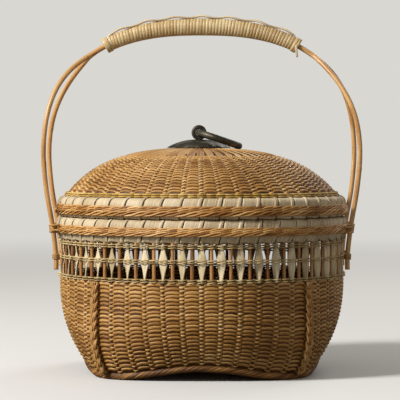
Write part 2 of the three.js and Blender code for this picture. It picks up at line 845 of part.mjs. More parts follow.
// The least distance between the points of neighbouring turns.
function leastGap(loops) {
  let least = Infinity;
  loops.forEach((points, step) => {
    const from = step + Math.ceil(stepsPerTurn / 2);
    for (let other = from; other < Math.min(loops.length, from + stepsPerTurn); other++) {
      for (const a of points) {
        for (const b of loops[other]) least = Math.min(least, a.distanceTo(b));
      }
    }
  });
  return least;
}

// The wavy splint laced along the top of the grip.
function gripSpine() {
  const steps = 4 * spineWaves;
  const seat = wrapHalfHeight + clearance;
  const frames = Array.from({ length: steps + 1 }, (_, step) => wrapLine.frameAt(step / steps));
  return bar(frames, (step) => {
    const wave = (1 - Math.cos((step / steps) * spineWaves * fullTurn)) / 2;
    const base = seat + spineBump * wave;
    return [
      [-spineWidth / 2, base],
      [spineWidth / 2, base],
      [spineWidth / 4, base + spineThickness],
      [-spineWidth / 4, base + spineThickness],
    ];
  });
}

// The band of cane that closes one end of the grip over the two rods.
function gripCollar(sign) {
  const sides = 12;
  const line = new GripLine(gripHalfLength);
  const spanShare = collarLength / line.getLength();
  const frameAt = (share) => line.frameAt(sign < 0 ? share : 1 - share);
  const hollow = { halfWidth: 2 * rodRadius + 3 * clearance, halfHeight: 2 * rodRadius + handleSkew / 2 };
  const profile = [
    { share: 0, thickness: 0 },
    { share: 0, thickness: gripCollarThickness },
    { share: 1 / 2, thickness: gripCollarThickness + caneThickness },
    { share: 1, thickness: gripCollarThickness },
    { share: 1, thickness: 0 },
  ];
  const loops = profile.map(({ share, thickness }) => {
    const { centre, side, up } = frameAt(share * spanShare);
    return loop(sides, (angle) =>
      centre
        .clone()
        .addScaledVector(side, (hollow.halfWidth + thickness) * Math.cos(angle))
        .addScaledVector(up, (hollow.halfHeight + thickness) * Math.sin(angle)),
    );
  });
  return skin(loops, true);
}

// The body
addPiece(basket, "foot_ring", footRing(), weaveFinish);
addPiece(basket, "base_panel", basePanel(), weaveFinish);
addPiece(basket, "lower_wall", lowerWall(), weaveFinish);
["back_right", "back_left", "front_left", "front_right"].forEach((corner, quarter, corners) => {
  const angle = ((quarter + 1 / 2) / corners.length) * fullTurn;
  addPiece(basket, "corner_braid_" + corner, cornerBraid(angle), goldenFinish);
});
const innerStrandOutside = outsideOf(stakeRadius + innerStrandThickness / 2 + clearance);
const twinings = [
  ["lower_twining", lowerTwiningBottom, twiningRadius],
  ["middle_twining", middleTwiningBottom, innerStrandOutside],
  ["upper_twining", upperTwiningBottom, twiningRadius],
];
for (const [name, bottom, innerRadius] of twinings) {
  addPiece(basket, name, twiningRing(innerRadius, twiningOuterRadius, bottom, twiningHeight), weaveFinish);
}
addPiece(basket, "openwork_stakes", openworkStakes(), stakeFinish);

// The rim
const collarTop = rimTop + collarRise;
addPiece(basket, "rim_hoop", flatHoop(hoopRadius, hoopThickness, rimBottom, rimTop - clearance), rodFinish);
addPiece(basket, "seat_collar", flatHoop(collarRadius, collarThickness, rimBottom, collarTop), weaveFinish);
addPiece(basket, "rim_wrap", rimWrap(), paleFinish);
addPiece(basket, "rim_braid", braidRing(rimBraidRadius, rimBraidMiddle, rimBraidHeight), goldenFinish);

// The lid
const lidHoopTop = lidRimTop - lidShelfThickness - clearance;
addPiece(lid, "lid_hoop", flatHoop(lidHoopRadius, hoopThickness, lidBottom, lidHoopTop), rodFinish);
addPiece(lid, "lid_rim_wrap", lidRimWrap(), paleFinish);
const lidBraidMiddle = lidBottom + lidBraidShare * lidRimHeight;
const lidBraid = braidRing(lidOuterRadius + clearance, lidBraidMiddle, lidRimBraidHeight);
addPiece(lid, "lid_rim_braid", lidBraid, goldenFinish);
const lidTwiningRadius = outsideOf(domeRadius + clearance);
const lidTwiningOuterRadius = lidTwiningRadius + lidTwiningThickness;
const lidTwining = twiningRing(lidTwiningRadius, lidTwiningOuterRadius, lidTwiningBottom, lidTwiningHeight);
addPiece(lid, "lid_twining", lidTwining, greenFinish);
addPiece(lid, "lid_dome", lidDome(), weaveFinish);
addPiece(lid, "pull_plate", pullPlate(), metalFinish);
addPiece(lid, "pull_eye", pullEye(), metalFinish);
addPiece(lid, "pull_washer", pullWasher(), metalFinish);
addPullRing();

// The handle
addPiece(basket, "handle_hoop_front", handleHoop(true), rodFinish);
addPiece(basket, "handle_hoop_back", handleHoop(false), rodFinish);
const rimLashing = lashing(rimBraidMiddle, lashingHeight);
const tailLashing = lashing(tieMiddle, tieHeight);
const sides = { front_left: [1, 1], front_right: [-1, 1], back_left: [1, -1], back_right: [-1, -1] };
for (const [place, [across, along]] of Object.entries(sides)) {
  addPiece(basket, "rim_lashing_" + place, rimLashing, goldenFinish).scale.set(across, along, 1);
  addPiece(basket, "tail_lashing_" + place, tailLashing, goldenFinish).scale.set(across, along, 1);
}
addPiece(basket, "grip_filler_top", gripFiller(1), stakeFinish);
addPiece(basket, "grip_filler_bottom", gripFiller(-1), stakeFinish);
addPiece(basket, "grip_wrap", gripWrap(), paleFinish);
addPiece(basket, "grip_spine", gripSpine(), paleFinish);
addPiece(basket, "grip_collar_left", gripCollar(-1), paleFinish);
addPiece(basket, "grip_collar_right", gripCollar(1), paleFinish);

export default basket;
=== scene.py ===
"""Looks of the bamboo basket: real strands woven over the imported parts, their finishes, light and camera.

Lengths in the classes are millimetres, and StrandMesh turns them into the frame's metres.
"""

import logging
import math
from abc import ABC, abstractmethod
from collections.abc import Iterable, Sequence
from dataclasses import dataclass
from enum import Enum
from typing import Protocol

import bpy
import numpy as np
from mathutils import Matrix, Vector


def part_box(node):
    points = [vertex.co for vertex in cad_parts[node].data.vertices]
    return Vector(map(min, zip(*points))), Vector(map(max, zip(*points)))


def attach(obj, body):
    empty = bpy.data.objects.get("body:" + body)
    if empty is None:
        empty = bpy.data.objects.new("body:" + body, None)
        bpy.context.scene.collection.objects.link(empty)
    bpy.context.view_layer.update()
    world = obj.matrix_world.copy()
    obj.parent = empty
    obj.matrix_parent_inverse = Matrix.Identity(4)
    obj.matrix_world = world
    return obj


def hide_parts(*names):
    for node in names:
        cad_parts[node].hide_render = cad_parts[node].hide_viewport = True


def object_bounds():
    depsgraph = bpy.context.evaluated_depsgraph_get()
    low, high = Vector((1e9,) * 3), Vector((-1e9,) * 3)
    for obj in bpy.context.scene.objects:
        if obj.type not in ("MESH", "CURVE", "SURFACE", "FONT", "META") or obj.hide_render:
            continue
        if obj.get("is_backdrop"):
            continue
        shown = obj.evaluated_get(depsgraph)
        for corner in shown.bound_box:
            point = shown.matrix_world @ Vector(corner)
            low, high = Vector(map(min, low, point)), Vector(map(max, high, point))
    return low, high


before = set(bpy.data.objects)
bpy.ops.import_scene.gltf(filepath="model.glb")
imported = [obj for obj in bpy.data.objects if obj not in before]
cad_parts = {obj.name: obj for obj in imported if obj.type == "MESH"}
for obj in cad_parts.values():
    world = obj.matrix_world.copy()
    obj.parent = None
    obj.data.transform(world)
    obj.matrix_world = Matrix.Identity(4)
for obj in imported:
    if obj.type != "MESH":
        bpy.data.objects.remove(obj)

log = logging.getLogger("basket")
Array = np.ndarray
Pairs = tuple[tuple[float, float], ...]
Node = bpy.types.Node
Socket = bpy.types.NodeSocket

MM = 0.001
FULL_TURN = 2 * math.pi
MAIN_STAKES = 48
PULL_OFFSET = -2.5
SHANK_HOLE = 3.8
RIGHT, BACK, UP = np.eye(3)


class Body(Enum):
    """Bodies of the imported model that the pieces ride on."""

    BASKET = "basket"
    LID = "lid"
    RING = "ring"


class Section(Enum):
    """Sections of a strand, as shares of its half width and half thickness."""

    OVAL = ((1, 0), (0.5, 0.87), (-0.5, 0.87), (-1, 0), (-0.5, -0.87), (0.5, -0.87))
    FLAT = ((1, -0.4), (1, 0.4), (0.8, 1), (-0.8, 1), (-1, 0.4), (-1, -0.4), (-0.8, -1), (0.8, -1))
    ROUND = tuple((math.cos(k * FULL_TURN / 12), math.sin(k * FULL_TURN / 12)) for k in range(12))


class Surface(Protocol):
    """A surface round the basket, by angle and share of the way up."""

    def __call__(self, angle: Array, share: Array) -> Array:
        """Give the points at some angles and shares."""


def unit(vectors: Array) -> Array:
    """Scale the vectors of the last axis to length one."""
    return vectors / np.maximum(np.linalg.norm(vectors, axis=-1, keepdims=True), 1e-12)


def polar(angle: Array, radius: Array, height: Array) -> Array:
    """Place points round the basket's axis, along a new last axis."""
    angle, radius, height = np.broadcast_arrays(angle, radius, height)
    return np.stack([radius * np.cos(angle), radius * np.sin(angle), height], axis=-1)


def around(count: int, offset: float = 0.0) -> Array:
    """Give the angles of even places round the basket, all turned on by an offset in places."""
    return (np.arange(count) + offset) / count * FULL_TURN


def run_lengths(points: Array) -> Array:
    """Measure the way along each line of points, from its start to each of its points."""
    steps = np.diff(points, axis=-2, prepend=points[..., :1, :])
    return np.cumsum(np.linalg.norm(steps, axis=-1), axis=-1)


def follow(places: Array, marks: Array, line: Array) -> Array:
    """Find points of a line.

    Args:
        places: Values of the marks at the wanted points.
        marks: Rising values, one at each point of the line.
        line: The line's points.

    Returns:
        The wanted points.
    """
    return np.stack([np.interp(places, marks, line[:, axis]) for axis in range(line.shape[1])], axis=-1)


def on_surface(surface: Surface, angle: Array, share: Array) -> tuple[Array, Array, Array]:
    """Find points of a surface with their upward and outward directions.

    Args:
        surface: The surface.
        angle: Angles.
        share: Shares of the way up.

    Returns:
        Points, directions up the surface, and directions out of it.
    """
    small = 1e-4
    angle, share = np.broadcast_arrays(angle, share)
    up = unit(surface(angle, share + small) - surface(angle, share - small))
    round_it = surface(angle + small, share) - surface(angle - small, share)
    return surface(angle, share), up, unit(np.cross(round_it, up))


def smooth_curve(points: Array, per_span: int) -> Array:
    """Run a centripetal Catmull-Rom curve through points.

    Args:
        points: Points of the curve.
        per_span: Steps between two of them.

    Returns:
        The curve's points.
    """
    padded = np.concatenate([2 * points[:1] - points[1:2], points, 2 * points[-1:] - points[-2:-1]])
    gaps = np.sqrt(np.linalg.norm(np.diff(padded, axis=0), axis=1, keepdims=True))
    before, start, end, after = padded[:-3], padded[1:-2], padded[2:-1], padded[3:]
    first, middle, last = gaps[:-2], gaps[1:-1], gaps[2:]
    leave = ((start - before) / first - (end - before) / (first + middle) + (end - start) / middle) * middle
    reach = ((end - start) / middle - (after - start) / (middle + last) + (after - end) / last) * middle
    share = (np.arange(per_span) / per_span)[None, :, None]
    start, end, leave, reach = (a[:, None] for a in (start, end, leave, reach))
    cubic = 2 * start - 2 * end + leave + reach
    square = -3 * start + 3 * end - 2 * leave - reach
    curve = cubic * share**3 + square * share**2 + leave * share + start
    return np.concatenate([curve.reshape(-1, 3), points[-1:]])


def linear(code: str) -> tuple[float, float, float, float]:
    """Turn a colour code such as "#c0a080" into the linear colour of a shader socket.

    Args:
        code: Red, green and blue after a hash mark.

    Returns:
        Linear red, green, blue and alpha.
    """
    shares = [int(code[at : at + 2], 16) / 255 for at in (1, 3, 5)]
    red, green, blue = (s / 12.92 if s <= 0.04045 else ((s + 0.055) / 1.055) ** 2.4 for s in shares)
    return red, green, blue, 1.0


class Graph:
    """Adds linked nodes to a material or a world."""

    def __init__(self, owner: bpy.types.Material | bpy.types.World) -> None:
        """Start with no nodes.

        Args:
            owner: Material or world that gets the nodes.
        """
        owner.use_nodes = True
        self.tree = owner.node_tree
        self.tree.nodes.clear()

    def add(self, kind: str, inputs: dict | None = None, **settings: object) -> Node:
        """Add a node.

        Args:
            kind: Type of the node without its "ShaderNode" start.
            inputs: Values or output sockets by the input's name or number.
            settings: Properties of the node.

        Returns:
            The new node.
        """
        node = self.tree.nodes.new("ShaderNode" + kind)
        for name, value in settings.items():
            setattr(node, name, value)
        for key, value in (inputs or {}).items():
            if isinstance(value, Socket):
                self.tree.links.new(value, node.inputs[key])
            else:
                node.inputs[key].default_value = value
        return node

    def math(self, operation: str, first: object, second: object) -> Socket:
        """Combine two values or sockets by one of Blender's operations."""
        return self.add("Math", {0: first, 1: second}, operation=operation).outputs[0]

    def centred(self, value: Socket, gain: float) -> Socket:
        """Turn a value round a half into one round zero, times a gain."""
        return self.math("MULTIPLY", self.math("SUBTRACT", value, 0.5), gain)

    def noise(self, place: Socket, scale: float, detail: float) -> Socket:
        """Add a noise texture with its scale and its number of finer layers."""
        return self.add("TexNoise", {"Vector": place, "Scale": scale, "Detail": detail}).outputs[0]

    def blend(self, share: object, below: object, above: object, mode: str) -> Socket:
        """Lay a share of one colour over another, by one of Blender's blends."""
        node = self.add("Mix", {0: share, 6: below, 7: above}, data_type="RGBA", blend_type=mode)
        return node.outputs[2]

    def ramp(self, factor: Socket, stops: Iterable[tuple[float, str]]) -> Socket:
        """Turn a factor into a colour.

        Args:
            factor: Socket from zero to one.
            stops: Places and colour codes.

        Returns:
            The colour's socket.
        """
        node = self.add("ValToRGB", {0: factor})
        elements = node.color_ramp.elements
        stops = list(stops)
        while len(elements) < len(stops):
            elements.new(0.5)
        for element, (place, code) in zip(elements, stops):
            element.position = place
            element.color = linear(code)
        return node.outputs[0]

    def mix(self, share: object, first: Node, second: Node) -> Node:
        """Mix two shaders by the share of the second one."""
        return self.add("MixShader", {0: share, 1: first.outputs[0], 2: second.outputs[0]})

    def seen_by_camera(self) -> Socket:
        """Tell the camera's rays from all others."""
        return self.add("LightPath").outputs["Is Camera Ray"]


@dataclass(frozen=True)
class Finish(ABC):
    """A finish, made once as a material and shared by its pieces."""

    name: str
    slot: str

    def material(self) -> bpy.types.Material:
        """Fetch the material, or make it when it is missing.

        Returns:
            The material, under a name that no packed material has.
        """
        label = self.name + "_finish"
        made = bpy.data.materials.get(label)
        if made is None:
            made = bpy.data.materials.new(label)
            graph = Graph(made)
            graph.add("OutputMaterial", {0: self.surface(graph).outputs[0]})
        return made

    @abstractmethod
    def surface(self, graph: Graph) -> Node:
        """Add the material's nodes and give its shader."""


@dataclass(frozen=True)
class BambooFinish(Finish):
    """A bamboo or cane surface, with its grain along each strand."""

    dark: str
    middle: str
    light: str
    roughness: float = 0.55
    grain: float = 1.3
    variety: float = 0.42
    lines: float = 0.55
    bump: float = 0.5
    coat: float = 0.0
    streak_length: float = 30.0
    streak_width: float = 0.8
    along_object: bool = False
    strand_shift: float = 91.0
    tone_stops: tuple[float, ...] = (0.15, 0.5, 0.85)
    cloud_scale: float = 26.0
    cloud_gain: float = 0.7
    line_tone: str = "#8c6a44"
    line_roughness: float = 0.3
    speck_tone: str = "#a87c4e"
    speck_scale: float = 900.0
    speck_share: float = 0.45
    relief_depth: float = 0.0003
    shine: float = 0.4
    coat_roughness: float = 0.3

    def surface(self, graph: Graph) -> Node:
        """Add the material's nodes.

        Args:
            graph: Graph of the material.

        Returns:
            The bamboo's shader.
        """
        place = graph.add("TexCoord").outputs["Object"]
        along, across, tone = graph.add("SeparateXYZ", {0: self._fibre(graph, place)}).outputs
        tone = graph.math("FRACT", tone, 0.0)
        seed = graph.math("MULTIPLY", tone, self.strand_shift)

        def grain_noise(length: float, width: float, detail: float) -> Socket:
            """Add noise that is stretched along the strand."""
            parts = {0: graph.math("DIVIDE", along, length), 1: graph.math("DIVIDE", across, width), 2: seed}
            return graph.noise(graph.add("CombineXYZ", parts).outputs[0], 1.0, detail)

        streak = grain_noise(self.streak_length, self.streak_width, 3.0)
        lines = grain_noise(self.streak_length / 3, self.streak_width / 4, 2.0)
        cloud = graph.noise(place, self.cloud_scale, 2.0)
        shade = graph.math("ADD", graph.centred(streak, self.grain), graph.centred(tone, self.variety))
        shade = graph.math("ADD", shade, graph.centred(cloud, self.cloud_gain))
        shade = graph.math("ADD", shade, 0.5)
        color = graph.ramp(shade, zip(self.tone_stops, (self.dark, self.middle, self.light)))
        dark_lines = graph.ramp(lines, [(0.36, self.line_tone), (0.52, "#ffffff")])
        color = graph.blend(self.lines, color, dark_lines, "MULTIPLY")
        speck = graph.noise(place, self.speck_scale, 1.0)
        specks = graph.ramp(speck, [(0.64, "#ffffff"), (0.72, self.speck_tone)])
        color = graph.blend(self.speck_share, color, specks, "MULTIPLY")
        rough = graph.math("ADD", graph.centred(lines, self.line_roughness), self.roughness)
        relief = graph.add("Bump", {"Strength": self.bump, "Distance": self.relief_depth, "Height": lines})
        return graph.add(
            "BsdfPrincipled",
            {
                "Base Color": color,
                "Roughness": rough,
                "Normal": relief.outputs[0],
                "Coat Weight": self.coat,
                "Coat Roughness": self.coat_roughness,
                "Specular IOR Level": self.shine,
            },
        )

    def _fibre(self, graph: Graph, place: Socket) -> Socket:
        """Find the place in the grain: along it, across it, and the strand's tone.

        Args:
            graph: The material's nodes.
            place: Place on the object.

        Returns:
            The socket of the place.
        """
        if self.along_object:
            in_millimetres = {0: place, 1: (1 / MM, 1 / MM, 1 / MM)}
            return graph.add("VectorMath", in_millimetres, operation="MULTIPLY").outputs[0]
        return graph.add("Attribute", attribute_name="fibre").outputs["Vector"]


@dataclass(frozen=True)
class MetalFinish(Finish):
    """Dark aged bronze with rubbed high spots and a little patina."""

    dark: str
    middle: str
    rubbed: str
    patina: str
    roughness: float = 0.46
    cloud_roughness: float = 0.4
    metallic: float = 0.7
    cloud_scale: float = 90.0
    patina_scale: float = 160.0
    grain_scale: float = 700.0
    tone_stops: tuple[float, ...] = (0.3, 0.52, 0.7)
    bump: float = 0.3
    relief_depth: float = 0.0005

    def surface(self, graph: Graph) -> Node:
        """Add the material's nodes.

        Args:
            graph: Graph of the material.

        Returns:
            The metal's shader.
        """
        place = graph.add("TexCoord").outputs["Object"]
        cloud = graph.noise(place, self.cloud_scale, 5.0)
        grains = graph.noise(place, self.grain_scale, 3.0)
        patches = graph.noise(place, self.patina_scale, 4.0)
        color = graph.ramp(cloud, zip(self.tone_stops, (self.dark, self.middle, self.rubbed)))
        share = graph.ramp(patches, [(0.5, "#000000"), (0.68, "#a0a0a0")])
        color = graph.blend(share, color, linear(self.patina), "MIX")
        rough = graph.math("ADD", graph.centred(cloud, self.cloud_roughness), self.roughness)
        relief = graph.add("Bump", {"Strength": self.bump, "Distance": self.relief_depth, "Height": grains})
        return graph.add(
            "BsdfPrincipled",
            {
                "Base Color": color,
                "Metallic": self.metallic,
                "Roughness": rough,
                "Normal": relief.outputs[0],
            },
        )


def bamboo(name: str, slot: str, tones: str, **values: float) -> BambooFinish:
    """Describe a bamboo finish by its dark, middle and light tones, in one string, and its other values."""
    return BambooFinish(name, slot, *tones.split(), **values)


FLOAT = bamboo("weave_float", "weave", "#80521c #b78644 #deb270", roughness=0.44, variety=0.28, grain=1.0)
# The bending weavers are a paler copy of the floats' tone: a painted highlight on the bumps they make over
# the narrow stakes.
BEND_PAINTED_HIGHLIGHT = bamboo("weave_bend_highlight", "weave", "#8c5f28 #c79a56 #e6c288", roughness=0.44, variety=0.28, grain=0.9)
# The stakes are darker than their own tone: painted shade where they show through the gaps between the
# weavers.
STAKE_PAINTED_SHADE = bamboo("stake", "stake", "#44280f #6c4622 #8e6034")
# The rims' core: its dark tone is painted shade in the slits between the wraps and behind the golden band.
CORE_PAINTED_SHADE = bamboo("core_painted_shade", "stake", "#4e341a #74522c #967044")
PALE = bamboo("pale_splint", "pale_splint", "#a8926c #cdb894 #e2d3b4", roughness=0.56, variety=0.2, lines=0.3)
GOLDEN = bamboo("golden_braid", "golden_braid", "#86541c #c48e48 #e6ba7c", roughness=0.5, variety=0.5)
GREEN = bamboo("green_twining", "green_twining", "#80601a #c09a44 #e4c47c", roughness=0.5, variety=0.7)
FAN = bamboo("dome_fan", "weave", "#8a5c26 #bd8e50 #dcb67c", roughness=0.48, variety=0.34, grain=0.9)
LATTICE = bamboo("lattice_splint", "pale_splint", "#ac966c #d8c59c #eee0c0", roughness=0.5, lines=0.4)
TWINE = bamboo("twining", "pale_splint", "#846a38 #bca26a #e0ca96", roughness=0.5, variety=0.5)
PLAIN = bamboo("plain_stake", "stake", "#7a4a1e #ae7a42 #cfa064", roughness=0.5, variety=0.4)
CORNER = bamboo("corner_plait", "weave", "#74481a #b48242 #dcb070", roughness=0.5, variety=0.4)
BORDER = bamboo("border", "weave", "#5a3814 #8c5e2a #ba8a4a", variety=0.6)
ROD = bamboo("rod", "rod", "#92622a #c48f50 #deb478", roughness=0.4, coat=0.25, bump=0.2, lines=0.3)
CANE = bamboo("grip_cane", "pale_splint", "#b08e58 #d2b682 #e8d4a6", roughness=0.45, coat=0.1, variety=0.3)
HOOP = bamboo("hoop_wood", "rod", "#6a4119 #986830 #ba8a4c", along_object=True, streak_width=1.5)
METAL = MetalFinish("dark_bronze", "metal", "#2c2720", "#463f33", "#6e6654", "#4c5246")


class StrandMesh:
    """Collects strands and surfaces of one piece, each point with its place in the grain."""

    longest_shift = 500

    def __init__(self, seed: int) -> None:
        """Start an empty mesh.

        Args:
            seed: Seed of the piece's tones.
        """
        self.random = np.random.default_rng(seed)
        self.points: list[Array] = []
        self.fibres: list[Array] = []
        self.quads: list[Array] = []
        self.count = 0

    def _collect(self, points: Array, fibres: Array, quads: Array) -> None:
        """Take over points, their grain and the faces between them.

        Args:
            points: Points in millimetres.
            fibres: Distance along and across the grain, and the tone, by point.
            quads: Faces as point numbers of the whole mesh.
        """
        self.points.append(points.reshape(-1, 3))
        self.fibres.append(fibres.reshape(-1, 3))
        self.quads.append(quads.reshape(-1, 4))
        self.count += self.points[-1].shape[0]

    def add(
        self,
        centres: Array,
        broad: Array,
        width: Array | float,
        thickness: Array | float,
        closed: bool = False,
        section: Section = Section.OVAL,
        tone: Array | None = None,
    ) -> None:
        """Add strands of equal step counts.

        Args:
            centres: Middle lines, by strand and step.
            broad: Directions of the strands' width.
            width: Full width.
            thickness: Full thickness.
            closed: Whether each strand runs back into its start.
            section: Shape of the strands' section.
            tone: Tone from zero to one by strand, else drawn at random.
        """
        centres = centres.reshape((-1, *centres.shape[-2:]))
        strands, steps = centres.shape[:2]
        broad = np.broadcast_to(broad, centres.shape)
        width = np.broadcast_to(width, (strands, steps))
        thickness = np.broadcast_to(thickness, (strands, steps))
        tone = self.random.random(strands)[:, None] if tone is None else tone
        tone = np.broadcast_to(tone, (strands, steps))
        if closed:
            order = np.arange(-1, steps + 2) % steps
            padded = centres[:, order]
            tangent = unit(padded[:, 2:] - padded[:, :-2])
            centres = padded[:, 1:-1]
            broad, width, thickness, tone = (a[:, order[1:-1]] for a in (broad, width, thickness, tone))
            steps += 1
        else:
            tangent = unit(np.gradient(centres, axis=1))
        normal = unit(np.cross(tangent, broad))
        broad = np.cross(normal, tangent)
        shares = np.array(section.value)
        corners = len(shares)
        across = width[..., None] / 2 * shares[:, 0]
        out = thickness[..., None] / 2 * shares[:, 1]
        points = centres[:, :, None] + broad[:, :, None] * across[..., None]
        points = points + normal[:, :, None] * out[..., None]
        along = run_lengths(centres) + self.random.random((strands, 1)) * self.longest_shift
        fibres = np.stack(np.broadcast_arrays(along[..., None], across + out, tone[..., None]), axis=-1)
        index = self.count + np.arange(strands * steps * corners).reshape(strands, steps, corners)
        near, far = index[:, :-1], index[:, 1:]
        quads = [np.stack([near, np.roll(near, -1, 2), np.roll(far, -1, 2), far], -1).reshape(-1, 4)]
        if not closed:
            for first in range(1, corners - 2, 2):
                cap = [0, first, first + 1, first + 2]
                quads += [index[:, 0][:, cap[::-1]], index[:, -1][:, cap]]
        self._collect(points, fibres, np.concatenate(quads))

    def add_surface(self, rows: Sequence[Array], tube: bool = False) -> None:
        """Add a surface over rows of points that each run round into their own start.

        Args:
            rows: Points by row, with the rows running along the grain.
            tube: Whether the last row runs on into the first.
        """
        points = np.stack([*rows, rows[0]] if tube else rows)
        points = np.concatenate([points, points[:, :1]], axis=1)
        across = run_lengths(points.swapaxes(0, 1)).swapaxes(0, 1)
        fibres = np.stack([run_lengths(points), across, np.full(across.shape, 0.5)], axis=-1)
        index = self.count + np.arange(across.size).reshape(across.shape)
        quads = np.stack([index[:-1, :-1], index[:-1, 1:], index[1:, 1:], index[1:, :-1]], -1)
        self._collect(points, fibres, quads)

    def piece(self, name: str, finish: Finish, body: Body, *replaces: str) -> None:
        """Make the Blender object of everything collected.

        Args:
            name: Name of the piece.
            finish: Its finish.
            body: Body that it rides on.
            replaces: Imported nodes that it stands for.
        """
        points = (np.concatenate(self.points) * MM).astype(np.float32)
        quads = np.concatenate(self.quads).astype(np.int32)
        mesh = bpy.data.meshes.new(name)
        mesh.vertices.add(len(points))
        mesh.vertices.foreach_set("co", points.ravel())
        mesh.loops.add(quads.size)
        mesh.loops.foreach_set("vertex_index", quads.ravel())
        mesh.polygons.add(len(quads))
        mesh.polygons.foreach_set("loop_start", np.arange(0, quads.size, 4, dtype=np.int32))
        mesh.polygons.foreach_set("use_smooth", np.ones(len(quads), dtype=bool))
        mesh.update(calc_edges=True)
        fibre = mesh.attributes.new("fibre", "FLOAT_VECTOR", "POINT")
        fibre.data.foreach_set("vector", np.concatenate(self.fibres).astype(np.float32).ravel())
        mesh.materials.append(finish.material())
        made = bpy.data.objects.new(name, mesh)
        bpy.context.scene.collection.objects.link(made)
        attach(made, body.value)
        if replaces:
            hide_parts(*replaces)
        log.info("%s: %d triangles on %s", name, 2 * len(quads), body.value)


@dataclass(frozen=True)
class Ring:
    """Place of a packed ring: its levels and its outer radius."""

    bottom: float
    top: float
    radius: float

    @classmethod
    def of(cls, node: str) -> "Ring":
        """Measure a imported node."""
        low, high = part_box(node)
        return cls(low.z / MM, high.z / MM, high.x / MM)

    @property
    def height(self) -> float:
        """Height from the ring's bottom to its top."""
        return self.top - self.bottom

    @property
    def middle(self) -> float:
        """Level of the ring's middle."""
        return (self.bottom + self.top) / 2


@dataclass(frozen=True)
class Outline:
    """Outline of the body: a circle at the wall's top that grows square towards the four feet."""

    wall_radius: float = 134
    wall_top: float = 89
    squareness: float = 2.2
    belly_power: float = 2.4
    foot_inset: float = 36
    foot_arch: float = 9.5
    roll_middle: float = 3
    wall_foot: float = 6.76

    def sink(self, height: Array) -> Array:
        """Tell how far the outline has sunk in: none at the wall's top, one at the ground."""
        return np.maximum(0, 1 - height / self.wall_top) ** self.belly_power

    def radius(self, angle: Array, height: Array, inset: float) -> Array:
        """Measure the outline from the axis.

        Args:
            angle: Angle round the axis.
            height: Height over the ground.
            inset: Distance inwards from the outline.

        Returns:
            The distance.
        """
        power = 2 + self.squareness * self.sink(height)
        half = self.wall_radius - self.foot_inset * self.sink(height) - inset
        spread = np.abs(np.cos(angle)) ** power + np.abs(np.sin(angle)) ** power
        return half / spread ** (1 / power)

    def arch(self, angle: Array) -> Array:
        """Give the rise of the bottom edge between the feet."""
        return self.foot_arch * np.cos(2 * angle) ** 2

    def wall_bottom(self, angle: Array) -> Array:
        """Give the height of the wall's bottom edge."""
        return self.arch(angle) + self.wall_foot

    def wall(self, inset: float) -> Surface:
        """Describe the wall, from its bottom edge up.

        Args:
            inset: Distance inwards from the outline.

        Returns:
            The surface.
        """

        def surface(angle: Array, share: Array) -> Array:
            """Give the wall's points."""
            height = self.wall_bottom(angle) * (1 - share) + self.wall_top * share
            return polar(angle, self.radius(angle, height, inset), height)

        return surface


